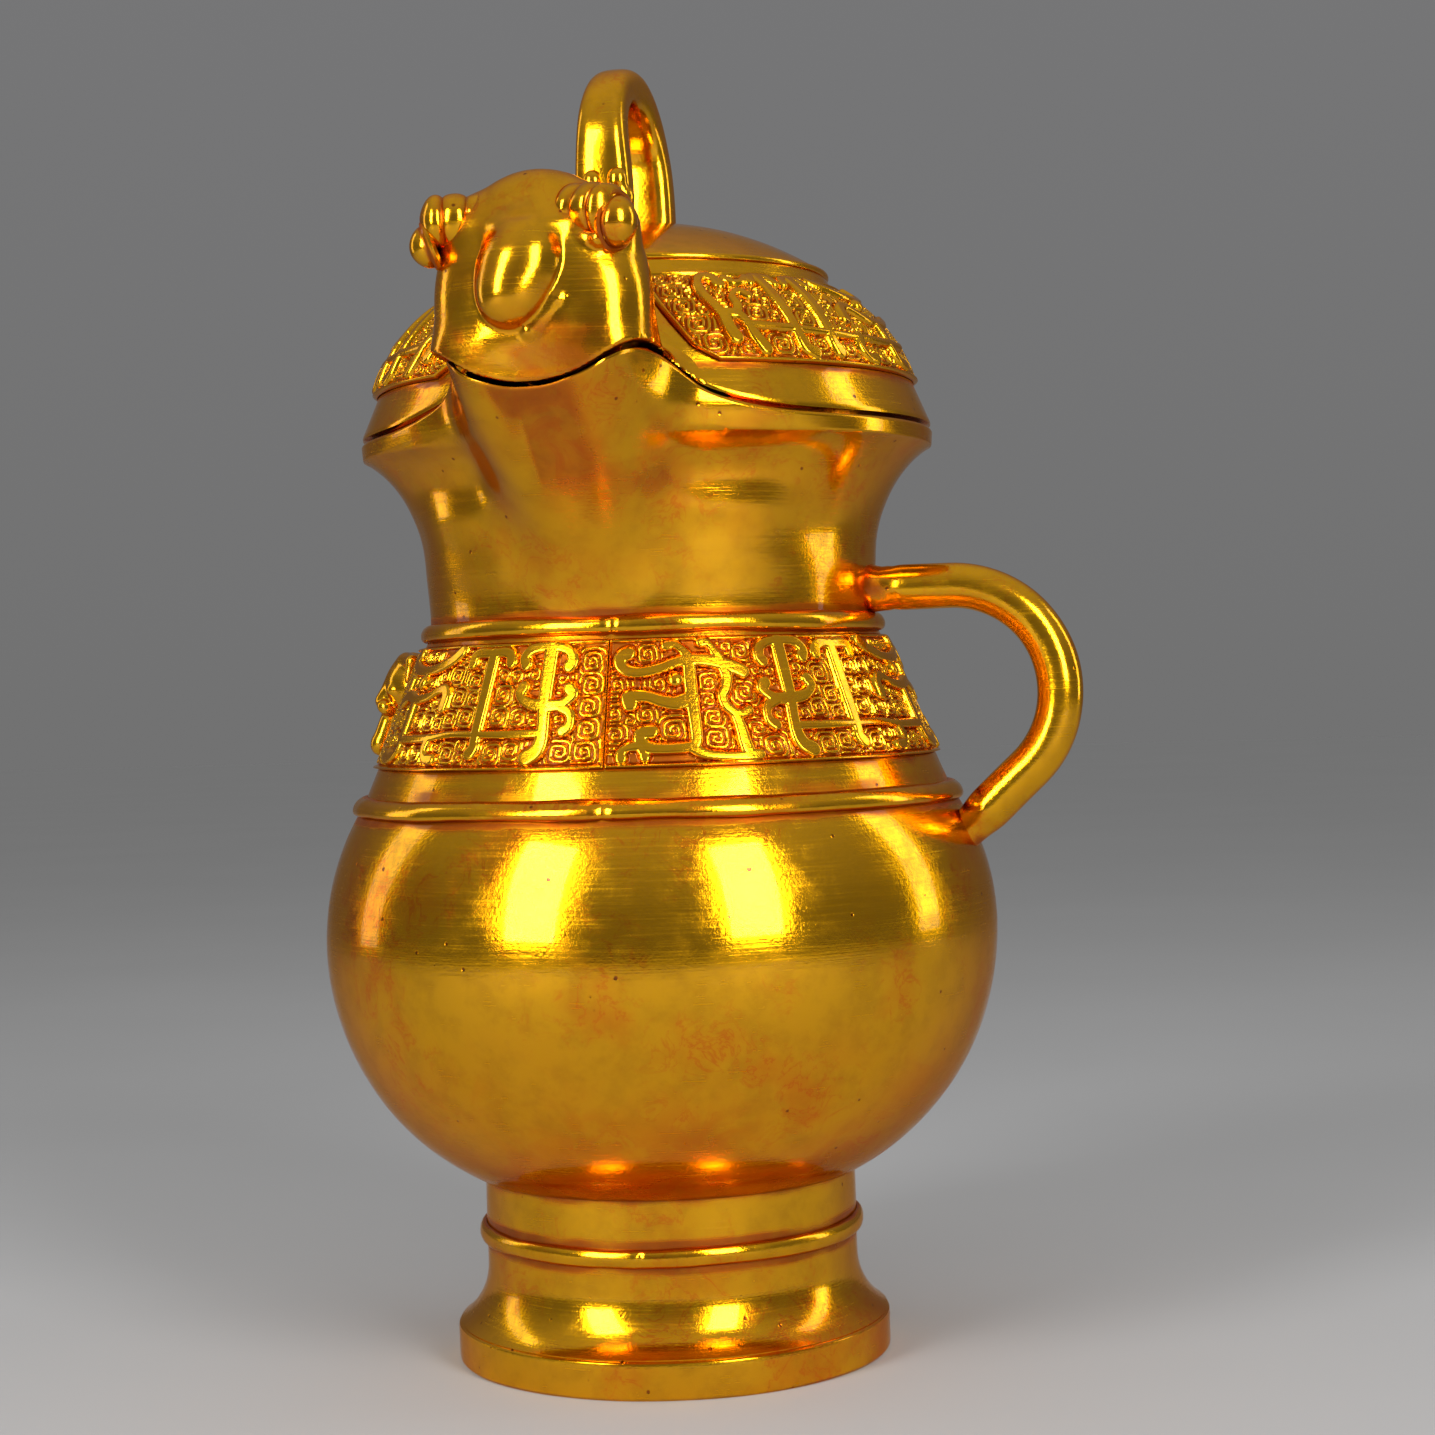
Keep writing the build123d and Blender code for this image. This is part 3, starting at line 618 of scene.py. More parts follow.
jaw_dragon = [
    (1.7, [(10.4, 179.4), (8.9, 178.7), (8.6, 177.0), (10, 175.4), (13, 174.9), (17, 175.7),
           (20, 176.8), (23.5, 177.5), (28, 177.1), (32, 175.9), (35, 174.4)]),
    (1.3, [(23.6, 177.6), (22.2, 179.8), (20.4, 181.2), (18.6, 181.0)]),
    (1.3, [(30.5, 177), (29.2, 179.4), (27.8, 181.4), (26.4, 181.6)]),
    (1.8, [(10.8, 167.5), (10.6, 169.0), (12.4, 169.3), (14.6, 169.0),
           (17, 168), (20, 167.4), (23.3, 168.4)]),
    (1.6, [(23.4, 177.4), (23.3, 172), (23.4, 166), (23.6, 161.5), (23.4, 158), (21.6, 157),
           (17, 156.9), (14.2, 157.3), (12.9, 158.8), (13.2, 160.6), (15, 160.9)]),
    (1.3, [(13.4, 157.8), (10.6, 157.4), (9.3, 156.2), (9.2, 154.8)]),
    (1.2, [(13.0, 157.2), (13.7, 154.9)]),
    (1.5, [(30.5, 176.6), (31.2, 173.5), (30.6, 170.6), (29.7, 168.8), (30.2, 166.4),
           (31.8, 164.4), (32.5, 161.5), (32.9, 158), (33.4, 155.4)]),
    (1.2, [(31.6, 164.8), (33.4, 164.4), (34.8, 165.2)]),
    (1.3, [(22.6, 156.9), (24.8, 155.4), (28, 154.8), (32, 154.6), (35.4, 154.9)]),
]
jaw_eye = (20.2, 173.0, 2.0)
frieze_mid_radius = 67.0
frieze_slant = hypot(1, shoulder_lean)
mirror_middle = 18.7
back_shifts = (96, 130)


def frieze_flat(angle, height):
    """Angle in degrees and height of the frieze as flat lengths in millimetres."""
    return np.radians(angle) * frieze_mid_radius, (height - frieze_z) * frieze_slant


def moved(ribbons, eye, change):
    """Copy of a dragon with its angles changed."""
    drawn = [(width, [(change(a), z) for a, z in path]) for width, path in ribbons]
    return drawn, (change(eye[0]), *eye[1:])


dragons = [
    moved(tail_dragon, tail_eye, lambda a: a),
    moved(tail_dragon, tail_eye, lambda a: 2 * mirror_middle - a),
    moved(tail_dragon, tail_eye, lambda a: 180 - a),
    moved(jaw_dragon, jaw_eye, lambda a: a),
]
for shift in back_shifts:
    dragons.append(moved(jaw_dragon, jaw_eye, lambda a, shift=shift: a + shift))


def flat_ornament():
    """All ribbons and bosses of the frieze in flat millimetres, repeated by whole circles."""
    ribbons, bosses = [], []
    for circle in (0, -360, 360):
        for drawn, eye in dragons:
            for width, path in drawn:
                ribbons.append((width, [frieze_flat(a + circle, z) for a, z in path]))
            bosses.append((*frieze_flat(eye[0] + circle, eye[1]), eye[2]))
    return ribbons, bosses


def add_frieze(name, node, start, columns=960, rows=164):
    """Half of the frieze as a relief plate, from the seam at the start angle."""
    along = np.linspace(start + seam_turn / 2, start + 180 - seam_turn / 2, columns)
    angle, height = np.meshgrid(along, np.linspace(frieze_z, frieze_top, rows))
    across, up = frieze_flat(angle, height)
    seam_gaps = [2 * (across - across.min()) + 0.3, 2 * (across.max() - across) + 0.3]
    edge = np.minimum.reduce([up, up.max() - up, *seam_gaps])

    def place(lift):
        return on_circle(shoulder_at(height) + lift, np.radians(angle), height)

    add_plate(name, place, (across, up, edge), flat_ornament(), "vessel", node)


add_frieze("frieze_relief_right", "frieze_right", seam_angle)
add_frieze("frieze_relief_left", "frieze_left", seam_angle - 180)


# Neck with its flared mouth, rim and faired trough spout

trough_half_width = 18.0
trough_widening = 9.5
trough_fairing = 16.0


def flare_at(height):
    """Outer radius of the round neck."""
    rise = np.clip(height - flare_z, 0, flare_height)
    fuller = 0.8 * ramp(189, 206, height) - 0.7 * ramp(215, 231, height)
    return flare_centre - np.sqrt(flare_arc**2 - rise**2) + fuller


def mouth_at(angle, height):
    """Outer radius of the neck with the trough spout faired into it."""
    half_width = trough_half_width + trough_widening * ramp(keel_z - 8, rim_z + 7, height)
    squareness = 2.3 + 1.3 * ramp(keel_z, rim_z + 5, height)
    reach = np.clip(neck_radius + keel_slope * (height - keel_z), 20, None)
    forward = np.clip(np.cos(angle), 1e-3, None)
    plan = (np.abs(np.sin(angle)) / half_width) ** squareness + (forward / reach) ** squareness
    trough = np.where(np.cos(angle) > 0.05, plan ** (-1 / squareness), 0)
    turn = np.degrees(np.abs(angle))
    beside = ramp(8, 24, turn) * ramp(62, 40, turn)
    lean = 2.0 * ramp(189, 212, height) - 3.8 * ramp(212, 227, height)
    lean = lean + 1.8 * ramp(227, rim_z + 3, height)
    return soft_max(flare_at(height), trough, trough_fairing) + beside * lean


# Height of the rim's edge line by the angle from the spout: a dipping lip, raised corners, a level rim
edge_heights = [
    (-3.6, 239.9), (0, 239.4), (3.6, 239.9), (7.8, 242.1), (11.2, 245.4), (13.3, 247.2),
    (15.6, 248.2), (17.6, 247.7), (20.3, 246.0), (24.0, 242.6), (26.5, 240.5), (29.7, 238.7),
    (35.4, 236.9), (44.0, 235.5), (54.0, rim_z), (64.0, rim_z),
]
edge_line = smooth_curve(edge_heights, 8)


def edge_height(x, y):
    """Height of the rim's edge line over a place."""
    return np.interp(np.degrees(np.abs(np.arctan2(x, -y))), edge_line[:, 0], edge_line[:, 1])


def crowded_angles(count, crowding):
    """Angles round the axis, closer together at the spout, where the wall turns fast."""
    even = np.linspace(-pi, pi, count, endpoint=False)
    return even - crowding * np.sin(even)


inner_stain = 0.6  # recess value of the hidden insides
neck_angle = crowded_angles(420, 0.62)
edge_z = edge_height(np.sin(neck_angle), -np.cos(neck_angle))
# The top rows keep to the edge line, so that the rim's band stays even
neck_share = np.linspace(0, 1, 46, endpoint=False)[:, None]
below_edge = np.linspace(rim_band + 3, 0, 22)[:, None] + 0 * edge_z
low_z = upper_cord_z + neck_share * (edge_z - below_edge[0] - upper_cord_z)
rows_z = np.concatenate([low_z, edge_z - below_edge])
below_edge = edge_z - rows_z
outer = mouth_at(neck_angle, rows_z)
away = ramp(radians(30), radians(60), np.abs(neck_angle))
rim_step = 0.3 * ramp(rim_band + 0.6, rim_band - 0.4, below_edge)
outer = outer + away * (rim_step + 0.08 * np.clip(rim_band - below_edge, 0, None))
round_off = 0.5 * ramp(0.6, 0, below_edge)
sink = 0.17 * (uneven(on_circle(outer, neck_angle, rows_z), 44) - 1)
skin = on_circle(outer - round_off + sink, neck_angle, rows_z)
inner_share = np.linspace(1, 0, 24)[:, None]
inner_z = upper_cord_z + inner_share * (edge_z - upper_cord_z)
inner = mouth_at(neck_angle, inner_z) - wall + 0.6 * (inner_share == 1)
inside = on_circle(inner, neck_angle, inner_z)
points = np.concatenate([skin, inside])
low_patina_and_shade = cord_stain(points, (upper_cord_z + 2.6,), 2.4)
front = ramp(radians(75), radians(20), np.abs(neck_angle)) * ramp(200, 226, points[..., 2])
patchy = ramp(-0.1, 0.9, uneven(points, 34) + 0.6 * uneven(points, 13))
# Painted reflection: an orange strip on the spout's front, given as recess values, stands in for a
# reflection there.
painted_reflection_strip = ramp(-5.5, -3, points[..., 0]) * ramp(17, 8, points[..., 0])
painted_reflection_strip = painted_reflection_strip * ramp(207, 214, points[..., 2]) * ramp(-70, -80, points[..., 1])
dull = 0.12 + 0.12 * uneven(points, 19)
stain = np.maximum.reduce([low_patina_and_shade, 0.75 * front * patchy, 0.7 * painted_reflection_strip, dull])
stain[len(skin):] = inner_stain
add_piece("neck", points, grid_faces(points, wrap_rows=True), "vessel", "neck_shell", gilt, stain)


# Round-bar handle with thickened, brazed roots

low_root_x = 76.5
bend_middle = (handle_reach - handle_bend, handle_z - handle_bend)
bend = arc(bend_middle, handle_bend, pi / 2, radians(handle_drop_angle - 90), 46)
low_root_z = bend[-1, 1] - (bend[-1, 0] - low_root_x) * tan(radians(handle_drop_angle))
top_run = np.linspace((neck_radius - 1, handle_z), bend[0], 16)
low_run = np.linspace(bend[-1], (low_root_x, low_root_z), 26)
flat_path = np.vstack([top_run[:-1], bend, low_run[1:]])
handle_path = stacked(flat_path[:, 0], np.zeros(len(flat_path)), flat_path[:, 1])
turn = np.linspace(0, 2 * pi, 44, endpoint=False)
length = np.concatenate([[0], np.cumsum(np.linalg.norm(np.diff(handle_path, axis=0), axis=1))])[:, None]
to_end = length[-1] - length
thick = handle_thickness / 2 + 0.7 * ramp(5, 1, length) - 0.9 * ramp(14, 6, to_end)
thick = thick - 0.25 * np.exp(-(((length - 7.5) / 0.9) ** 2))
section = stacked(np.cos(turn) * thick, np.sin(turn) * thick)
points, faces = tube(handle_path, section, (0, 1, 0))
lump = uneven(points, 7) * 0.45 * ramp(9, 3, np.minimum(length, to_end + 3))
outwards = points - handle_path[:, None]
outwards /= np.linalg.norm(outwards, axis=-1, keepdims=True)
sag = 0.1 * (uneven(points, 23) - 1)
points = points + outwards * (lump + sag)[..., None]
stain = np.maximum(ramp(9, 3, length), ramp(11, 5, to_end)) * (0.6 + 0.4 * uneven(points, 6))
add_piece("handle", points, faces, "vessel", "side_handle", gilt, stain)


# Beast mask: brow crest, eyes, muzzle and a hooked snout


def ball(points, middle, radii):
    """Rough distance from a ball or egg."""
    return (np.linalg.norm((points - middle) / np.array(radii), axis=-1) - 1) * min(radii)


def rod(points, start, end, start_radius, end_radius):
    """Distance from a round rod whose radius changes along it."""
    step = np.subtract(end, start)
    share = np.clip((points - start) @ step / (step @ step), 0, 1)
    near = start + share[..., None] * step
    return np.linalg.norm(points - near, axis=-1) - (start_radius + share * (end_radius - start_radius))


def joined(shape, *forms):
    """Distance field with more forms faired on, each over its own blend width."""
    for form, blend in forms:
        shape = soft_min(shape, form, blend)
    return shape


mask_z = (frieze_z + frieze_top) / 2
mask_lean = atan2(shoulder_lean, 1)
mask_out = np.array((-cos(mask_lean), 0, sin(mask_lean)))
mask_up = np.array((sin(mask_lean), 0, cos(mask_lean)))
mask_middle = np.array((-shoulder_at(mask_z) - 1.2, 0, mask_z))


def mask_field(points):
    """Distance field of the mask, in the frieze's own directions."""
    local = points - mask_middle
    local = stacked(np.abs(local[..., 1]), local @ mask_up, local @ mask_out)
    shape = joined(
        ball(local, (0, 5.6, 0.5), (7.0, 8.6, 9.2)),
        (rod(local, (2.2, 11.0, 5.6), (8.0, 12.4, 2.0), 2.4, 1.6), 1.2),
        (rod(local, (8.0, 12.0, 2.0), (9.0, 7.5, 1.0), 1.7, 1.0), 1.0),
        (ball(local, (3.9, 3.0, 5.4), (2.2, 2.0, 2.2)), 0.7),
        (rod(local, (0, 10.4, 7.0), (0, -1.4, 8.6), 2.0, 2.4), 1.5),
        (ball(local, (2.7, -2.4, 6.4), (2.2, 2.0, 2.6)), 0.8),
        (rod(local, (0, -3.0, 5.6), (0, -11.4, 5.2), 2.3, 2.7), 1.2),
        (ball(local, (0, -12.6, 5.2), (2.9, 3.0, 2.8)), 1.0),
        (rod(local, (0, -3.0, 1.0), (0, -11.0, 0.5), 3.0, 2.4), 1.5),
    )
    return soft_max(shape, -0.6 - local[..., 2], 0.4)


points, faces = surface_net(mask_field, (-84, -11, 151), (-52, 11, 187), 0.4)
stain = ramp(3.2, 0.2, (points - mask_middle) @ mask_out) * 0.9
add_piece("mask", points, faces, "vessel", "beast_mask", relief_gilt, stain, crease=60)


# Lid: sloping cover, crown and relief panels


def slope_point(share, grow):
    """Radius and height on the convex slope, from 0 at its foot to 1 at the crown."""
    lean = slope_lean + (2 * share - 1) * slope_half
    return slope_r + (slope_arc + grow) * np.cos(lean), slope_z + (slope_arc + grow) * np.sin(lean)


def lid_at(height):
    """Outer radius of the lid below its crown."""
    band = lid_edge_radius + (height - lid_z) / (panel_z - lid_z) * (band_top_radius - lid_edge_radius)
    rise = np.clip((height - slope_z) / slope_arc, -1, 1)
    slope = slope_r + slope_arc * np.sqrt(1 - rise**2)
    return np.where(height < panel_z, band, slope)


lid_angle = crowded_angles(300, 0.4)
lid_edge_z = edge_height(np.sin(lid_angle), -np.cos(lid_angle)) + lid_gap
band_levels = np.linspace(lid_z + 1.2, panel_z, 8)
slope_levels = np.linspace(panel_z, crown_z, 20)[1:]
lid_levels = np.concatenate([[lid_z, lid_z + 0.5], band_levels, slope_levels])
lid_share = (lid_levels - lid_z) / (crown_z - lid_z)
rows_z = lid_edge_z + lid_share[:, None] * (crown_z - lid_edge_z)
outer = lid_at(rows_z) - 0.35 * ramp(0.02, 0, lid_share)[:, None]
skin = uneven_ring(outer, lid_angle, rows_z, 0.12, 33)
inner_z = rows_z[::-2]
inside = on_circle(lid_at(inner_z) - wall, lid_angle, inner_z)
points = np.concatenate([skin, inside])
stain = cord_stain(points, (panel_z, crown_z), 1.6)
stain[len(skin):] = inner_stain
add_piece("lid", points, grid_faces(points, wrap_rows=True), "lid", "lid_shell", gilt, stain)

dome_turn = asin(dome_radius / dome_arc)
dome_middle = (0, dome_top - dome_arc)
crown_outline = np.vstack([
    np.linspace((crown_radius - wall, crown_z), (crown_radius - 0.4, crown_z), 2),
    np.linspace((crown_radius, crown_z + 0.5), (dome_radius + 0.4, dome_z - 1.6), 7),
    arc((dome_radius - 0.2, dome_z - 0.5), 1.0, -pi / 3, 2 * pi / 3, 9),
    arc(dome_middle, dome_arc, pi / 2 - dome_turn + 0.03, pi / 2, 30)[:-1],
    [(0, dome_top), (0, dome_top - wall)],
    arc(dome_middle, dome_arc - wall, pi / 2 - 0.05, pi / 2 - dome_turn + 0.03, 14),
])
points = turned(crown_outline, 220, ripple=0.22, ripple_length=30)
stain = cord_stain(points, (crown_z,), 1.3)
add_piece("crown", points, grid_faces(points, wrap_rows=True), "lid", "lid_crown", gilt, stain)

# Ribbons of the right panel, as angle and share of the slope, drawn once and mirrored to the back
panel_ribbons = [
    (1.5, [(34.6, 0.74), (34.0, 0.83), (32, 0.88), (30, 0.84), (29.2, 0.74),
           (29.8, 0.61), (31.5, 0.49), (33, 0.38), (33.6, 0.28), (34.6, 0.20)]),
    (1.4, [(33.0, 0.42), (36, 0.41), (37.6, 0.34), (38.6, 0.24), (40.6, 0.11)]),
    (1.2, [(35.8, 0.41), (36.8, 0.5), (36.4, 0.6), (38.4, 0.66), (40.6, 0.61)]),
    (1.2, [(36.8, 0.84), (38.6, 0.78), (41, 0.80), (43, 0.87)]),
    (1.0, [(37.6, 0.32), (49, 0.30), (60, 0.28), (75, 0.27), (88, 0.27)]),
    (1.5, [(46.8, 0.88), (47.6, 0.6), (48.8, 0.32), (50, 0.15), (52, 0.10)]),
    (1.3, [(43.6, 0.80), (44.6, 0.88), (47, 0.9), (49.6, 0.88), (50.8, 0.8)]),
    (1.5, [(57.4, 0.88), (57.8, 0.28), (59, 0.12)]),
    (1.3, [(53.6, 0.80), (54.8, 0.88), (57.4, 0.9), (60.2, 0.88), (61.4, 0.8)]),
    (1.3, [(67, 0.28), (66.6, 0.18), (68, 0.11), (70.6, 0.1)]),
    (1.4, [(66, 0.9), (70, 0.82), (76, 0.74), (83, 0.72), (88, 0.78), (88.6, 0.88)]),
    (1.4, [(66, 0.44), (67, 0.55), (70, 0.58), (76, 0.48), (84, 0.46), (89, 0.52)]),
    (1.3, [(80, 0.46), (80.6, 0.27), (82, 0.14), (86, 0.1)]),
]
panel_eye = (77, 0.62, 1.9)
panel_turn_back = 205
panel_mid_radius = 60.0
panel_length = 2 * slope_half * (slope_arc + 1)
panel_margin_share = 0.8 / slope_chord


def panel_flat(angle, share):
    """Angle and share of the slope as flat lengths in millimetres."""
    return np.radians(angle) * panel_mid_radius, share * panel_length


def add_panel(name, node, side, columns=820, rows=150):
    """Relief plate on one side of the lid, with a slanting, curved front end."""
    share = np.linspace(panel_margin_share, 1 - panel_margin_share, rows)[:, None]
    front = 15.5 + 13 * (1 - share) ** 1.7 + 3 * ramp(0.16, 0, share)
    along = np.linspace(0, 1, columns)[None]
    angle = front + along * (180 - seam_turn / 2 - front)
    share = np.broadcast_to(share, angle.shape)
    across, up = panel_flat(angle, share)
    front_gap = (across - panel_flat(front, share)[0]) * 0.86
    back_gap = across[:, -1:] - across + 0.4
    edge = np.minimum.reduce([up - up.min(), up.max() - up, front_gap, back_gap])
    ribbons, bosses = [], []
    for change in (lambda a: a, lambda a: panel_turn_back - a):
        ribbons += [(width, [panel_flat(change(a), s) for a, s in path]) for width, path in panel_ribbons]
        bosses.append((*panel_flat(change(panel_eye[0]), panel_eye[1]), panel_eye[2]))

    def place(lift):
        radius, height = slope_point(share, lift)
        return on_circle(radius, side * np.radians(angle), height)

    add_plate(name, place, (across, up, edge), (ribbons, bosses), "lid", node)


add_panel("panel_relief_right", "panel_right", 1)
add_panel("panel_relief_left", "panel_left", -1)


# Animal head, faired into the lid

head_middle = 82.0
head_half_width = 25.7
head_half_length = 15.0
skull_z = 258.0
skull_height = 28.5
nose_x = -0.6
nose_z = 266.0
nose_radii = (10.4, 10.6, 12.6)
nose_tip = (-2.4, 99.4, 259.2)
nose_tip_radii = (6.4, 6.6, 6.3)


def bent_rod(points, path, radii):
    """Distance from a rod through three points, faired at its bend."""
    first = rod(points, *path[:2], *radii[:2])
    second = rod(points, *path[1:], *radii[1:])
    return soft_min(first, second, 1.0)


def head_body(points):
    """Distance field of the head alone: cheeks, skull, nose, the fold beside it and an eyelid."""
    x, forward, z = points[..., 0], -points[..., 1], points[..., 2]
    here = stacked(x, forward, z)
    mirrored = stacked(np.abs(x), forward, z)
    wide = head_half_width + 1.4 * (np.clip(262 - z, 0, None) / 16) ** 2
    front_long = 14.8 + 1.6 * ramp(240, 253, z)
    long = np.where(forward > head_middle, front_long, head_half_length)
    round_plan = 2.15 + 0.9 * ramp(259, 246, z)
    closing = np.clip(z - skull_z, 0, None) / skull_height
    plan = (np.abs(x) / wide) ** round_plan + (np.abs(forward - head_middle) / long) ** round_plan
    column = ((plan + closing**2.2) ** (1 / round_plan) - 1) * 18
    drop = nose_z - z
    leaning = stacked(x - nose_x + 0.15 * drop, forward - 0.1 * drop, z)
    nose = ball(leaning, (0, 95.4, nose_z), nose_radii)
    nose = soft_min(nose, ball(here, nose_tip, nose_tip_radii), 4)
    fold_path = ((13.2, 94.6, 269.0), (8.0, 97.8, 258.5), (1.6, 98.4, 251.6))
    eyelid_path = ((12.4, 94.0, 272.2), (17.5, 95.4, 271.6), (21.5, 95.6, 274.4))
    shape = joined(
        column,
        (ball(here, (0, 85.5, 264.4), (20.5, 13.0, 25.0)), 5),
        (ball(mirrored, (14.5, 86.0, 276.5), (9.0, 7.6, 7.4)), 4),
        (ball(here, (14.5, 86.8, 258.5), (10.5, 9.8, 12.0)), 3),
        (nose, 0.9 + 4 * ramp(270, 277, z)),
        (bent_rod(here, fold_path, (1.2, 1.5, 1.9)), 1.1),
        (bent_rod(here, eyelid_path, (1.5, 1.7, 1.4)), 1.4),
    )
    hollow = ball(here, (1.0, 102.2, 277.6), (3.2, 2.6, 1.0))
    return soft_max(shape, -hollow, 1.5)


def lid_field(points, grow):
    """Rough distance from the lid's outside, grown by a little."""
    radius = np.hypot(points[..., 0], points[..., 1])
    height = np.clip(points[..., 2], lid_z, crown_z)
    slope = (radius - lid_at(height)) * 0.78 - grow
    top = points[..., 2] - crown_z - 0.25 * (crown_radius - radius)
    return np.maximum(slope, top)


def head_field(points):
    """Distance field of the hollow head with its fairing on the lid, above the parting line."""
    body = head_body(points)
    fairing = 5 + 8 * ramp(260, 246, points[..., 2])
    shape = np.maximum(soft_min(body, lid_field(points, -0.35), fairing), body - 12)
    hollow = np.minimum(body + wall, lid_field(points, -wall))
    shape = soft_max(shape, -hollow, 0.6)
    parting = edge_height(points[..., 0], points[..., 1]) + lid_gap
    return soft_max(shape, parting - points[..., 2], 0.7)


brow_right = ((8.2, -89.2, 279.8), (22.0, -94.0, 277.4), 7.2)
brow_left = ((-9.6, -87.8, 279.4), (-26.0, -91.4, 278.6), 6.9)

points, faces = surface_net(head_field, (-60, -110, 234), (60, -34, 292), 0.66)
chin = ramp(27, 16, np.abs(points[:, 0])) * ramp(258, 251, points[:, 2])
chin = chin * ramp(-80, -88, points[:, 1])
patchy = ramp(-0.3, 0.7, uneven(points, 21) + 0.5 * uneven(points, 8))
stain = np.maximum((0.3 + 0.4 * patchy) * chin, 0.1 + 0.1 * uneven(points, 17))
for start, end, radius in (brow_right, brow_left):
    outer = np.add(start, 0.4 * np.subtract(end, start))
    beside = rod(points, outer, end, radius - 0.8, radius)
    stain = np.maximum(stain, ramp(2.0, 0.3, beside) * (0.5 + 0.3 * patchy))
add_piece("head", points, faces, "lid", "beast_head", gilt, stain)


def placed(points, middle, axis):
    """Points of a shape turned so that its own +Z follows an axis, and moved to a middle."""
    turn = np.array(Vector(axis).to_track_quat("Z", "Y").to_matrix())
    return points @ turn.T + middle


def add_brow(name, node, start, end, radius):
    """Banded roll on the brow, from its inner to its outer end."""
    length = float(np.linalg.norm(np.subtract(end, start)))
    share = np.linspace(0, 1, 60)
    band = np.abs(np.sin(share * 3 * pi)) ** 0.35
    profile = radius * (0.80 + 0.20 * band) * np.sqrt(1 - 0.3 * (1 - share) ** 2)
    profile *= np.sqrt(1 - 0.85 * np.clip((share - 0.7) / 0.3, 0, 1) ** 2)
    outline = np.vstack([[(0, 0)], stacked(profile, share * length), [(0, length)]])
    points = turned(outline, 64, ripple=0.7, ripple_length=8)
    stain = np.repeat(np.maximum(1.2 * (1 - band), ramp(0.2, 0, share))[:, None], 64, axis=1)
    stain = np.vstack([stain[:1], stain, stain[-1:]])
    points = placed(points, start, np.subtract(end, start))
    add_piece(name, points, grid_faces(points), "lid", node, gilt, stain)


def add_eye(name, node, middle, axis, tall):
    """Bulging eye: an egg with a raised lid round its inner side."""
    turn = np.linspace(0, pi / 2, 22)
    dome = stacked(5.1 * np.cos(turn), 4.4 * np.sin(turn))
    rim = np.array([(0, -1.8), (5.4, -1.8), (6.1, -1.2), (6.2, -0.3), (5.7, 0.25), (5.3, 0.05)])
    outline = np.vstack([rim, dome[1:-1] + (0, 0.1), [(0, 4.5)]])
    points = turned(outline, 64, ripple=0.4, ripple_length=7)
    stain = ramp(1.3, 0.2, np.abs(points[..., 2] - 0.2)) * 0.95
    points = placed(points * (1, tall, 1), middle, axis)
    add_piece(name, points, grid_faces(points), "lid", node, gilt, stain)


add_brow("brow_roll_right", "brow_right", *brow_right)
add_brow("brow_roll_left", "brow_left", *brow_left)
add_eye("eye_ball_right", "eye_right", (21.4, -93.6, 275.4), (1.0, -0.55, -0.16), 1.16)
add_eye("eye_ball_left", "eye_left", (-24.6, -90.4, 273.4), (-1.0, -0.25, -0.35), 1.0)


# Arched bail, wider at its feet, with two small bosses at the front

bail_lean = 0.6
bail_bend = (bail_front + bail_rear) / 2
spring_z = bail_top - bail_thickness / 2 - bail_bend
arch = arc((-(bail_front - bail_rear) / 2, spring_z), bail_bend, pi, 0, 60)
front_foot = np.linspace((-bail_front, dome_z + 5), arch[0], 30)
rear_foot = np.linspace(arch[-1], (bail_rear, dome_z + 8), 30)
flat_path = np.vstack([front_foot[:-1], arch, rear_foot[1:]])
bail_path = stacked(np.zeros(len(flat_path)), flat_path[:, 0], flat_path[:, 1])
turn = np.linspace(0, 2 * pi, 48, endpoint=False)
corner = (np.abs(np.cos(turn)) ** 3 + np.abs(np.sin(turn)) ** 3) ** (-1 / 3)
low = ramp(bail_top - 4, dome_top + 2, bail_path[:, 2:])
half_wide = 5.7 + 1.5 * low
half_deep = np.full_like(half_wide, bail_thickness / 2 - 0.05)
section = stacked(np.cos(turn) * corner * half_wide, np.sin(turn) * corner * half_deep)
points, faces = tube(bail_path, section, (1, 0, 0))
outwards = (points - bail_path[:, None]) / half_wide[:, None]
points = points - 0.12 * (1 - uneven(points, 19))[..., None] * outwards
points[..., 0] += bail_lean * low
stain = ramp(4, 0, points[..., 2] - dome_top + 3) * 0.8
add_piece("bail", points, faces, "lid", "lid_bail", gilt, stain)


def boss_field(points):
    """Two round bosses at the foot of the bail's front leg, on a low swelling."""
    boss_y = -bail_front - 4.6
    low_y = -bail_front - 3.2
    boss_radii = (2.5, 2.3, 3.1)
    return joined(
        ball(points, (-1.2, boss_y, 295.4), boss_radii),
        (ball(points, (5.2, boss_y, 295.6), boss_radii), 0.8),
        (rod(points, (-3.5, low_y, 291.5), (6.0, low_y, 291.5), 3.0, 3.0), 1.4),
    )


points, faces = surface_net(boss_field, (-10, -46, 285), (10, -30, 302), 0.35)
add_piece("bail_bosses", points, faces, "lid", "lid_bail", gilt)


# The hidden tongue keeps its own shape and takes the bronze
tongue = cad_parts["lid_tongue"]
tongue.data.materials.clear()
tongue.data.materials.append(gilt)


# Stage, light and camera

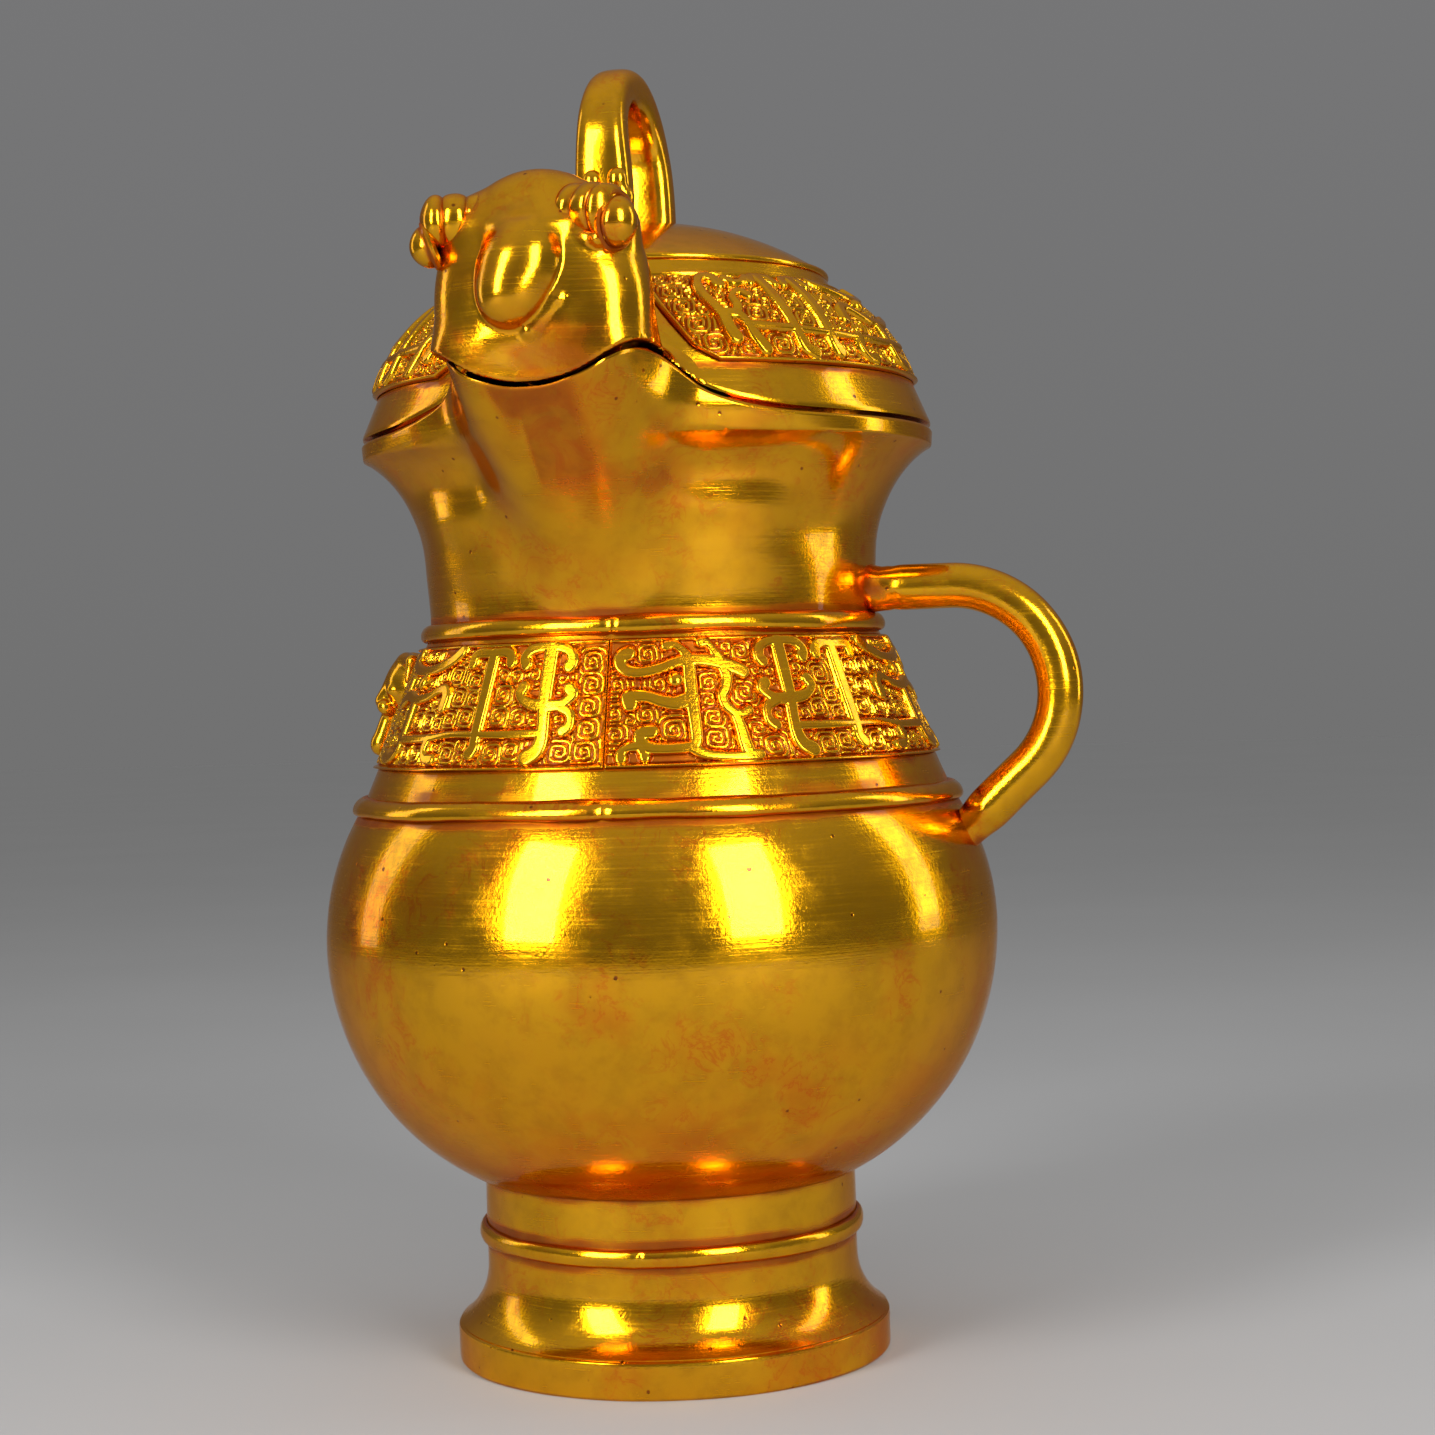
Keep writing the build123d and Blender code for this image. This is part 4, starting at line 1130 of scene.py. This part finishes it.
floor_mesh = bpy.data.meshes.new("floor")
floor_half = 6.0
floor_corners = [(x * floor_half, y * floor_half, 0) for x, y in ((-1, -1), (1, -1), (1, 1), (-1, 1))]
floor_mesh.from_pydata(floor_corners, [], [(0, 1, 2, 3)])
floor = bpy.data.objects.new("floor", floor_mesh)
bpy.context.collection.objects.link(floor)
paper = bpy.data.materials.new("backdrop_paper")
paper.use_nodes = True
paper_tree = paper.node_tree
paper_look = paper_tree.nodes["Principled BSDF"].inputs
fibre = shader_node(paper_tree, "TexNoise", Scale=60.0, Detail=3.0)
tone = shade_mix(paper_tree, fibre.outputs["Fac"], (0.41, 0.41, 0.415, 1), (0.44, 0.44, 0.445, 1))
feed(paper_tree, paper_look["Base Color"], tone)
feed(paper_tree, paper_look["Roughness"], 0.85)
floor_mesh.materials.append(paper)

world = bpy.data.worlds.new("studio")
world.use_nodes = True
bpy.context.scene.world = world
sky = world.node_tree
direction = shader_node(sky, "TexCoord").outputs["Generated"]
rise = shader_node(sky, "SeparateXYZ", Vector=direction).outputs["Z"]
sky_ramp = shader_node(sky, "ValToRGB", Fac=rise)
stops = sky_ramp.color_ramp.elements
stops[0].color = (0.168, 0.168, 0.168, 1)
stops[1].color = (0.50, 0.50, 0.49, 1)
stops[1].position = 0.95
for position, grey in ((0.25, (0.18, 0.18, 0.183, 1)), (0.55, (0.30, 0.30, 0.30, 1))):
    stops.new(position).color = grey
feed(sky, sky.nodes["Background"].inputs["Color"], sky_ramp.outputs["Color"])

camera_turn = radians(16)
camera_distance = 0.7
camera_height = 0.171
camera_dip = radians(0.672)
camera_pan = radians(1.3)
camera_roll = radians(1.8)
aim = Vector((0, 0, 0.165))


def softbox(name, turn, rise, distance, width, height, radiance):
    """Soft rectangular lamp, placed by its turn from the camera's direction and its rise."""
    lamp = bpy.data.lights.new(name, "AREA")
    lamp.shape = "RECTANGLE"
    lamp.size = width
    lamp.size_y = height
    lamp.energy = radiance * pi * width * height
    box = bpy.data.objects.new(name, lamp)
    way = camera_turn + radians(turn)
    level = cos(radians(rise))
    box.location = aim + distance * Vector((sin(way) * level, -cos(way) * level, sin(radians(rise))))
    box.rotation_mode = "QUATERNION"
    box.rotation_quaternion = (aim - box.location).to_track_quat("-Z", "Y")
    box.visible_camera = False
    bpy.context.collection.objects.link(box)


softbox("softbox_left", -44, 21, 1.1, 0.32, 0.74, 12.0)
softbox("softbox_right", 30, 21, 1.1, 0.32, 0.74, 12.0)
softbox("side_left", -112, 18, 1.2, 0.24, 1.0, 1.5)
softbox("side_right", 98, 18, 1.2, 0.24, 1.0, 2.5)

lens = bpy.data.cameras.new("camera")
lens.sensor_width = 36.0
lens.lens = 67.7
lens.clip_end = 50
camera = bpy.data.objects.new("camera", lens)
camera.location = (camera_distance * sin(camera_turn), -camera_distance * cos(camera_turn), camera_height)
look = Euler((pi / 2 - camera_dip, 0, camera_turn - camera_pan)).to_matrix().to_4x4()
look = look @ Matrix.Rotation(-camera_roll, 4, "Z")
camera.rotation_euler = look.to_euler()
bpy.context.collection.objects.link(camera)
bpy.context.scene.camera = camera
bpy.context.scene.view_settings.view_transform = "Standard"
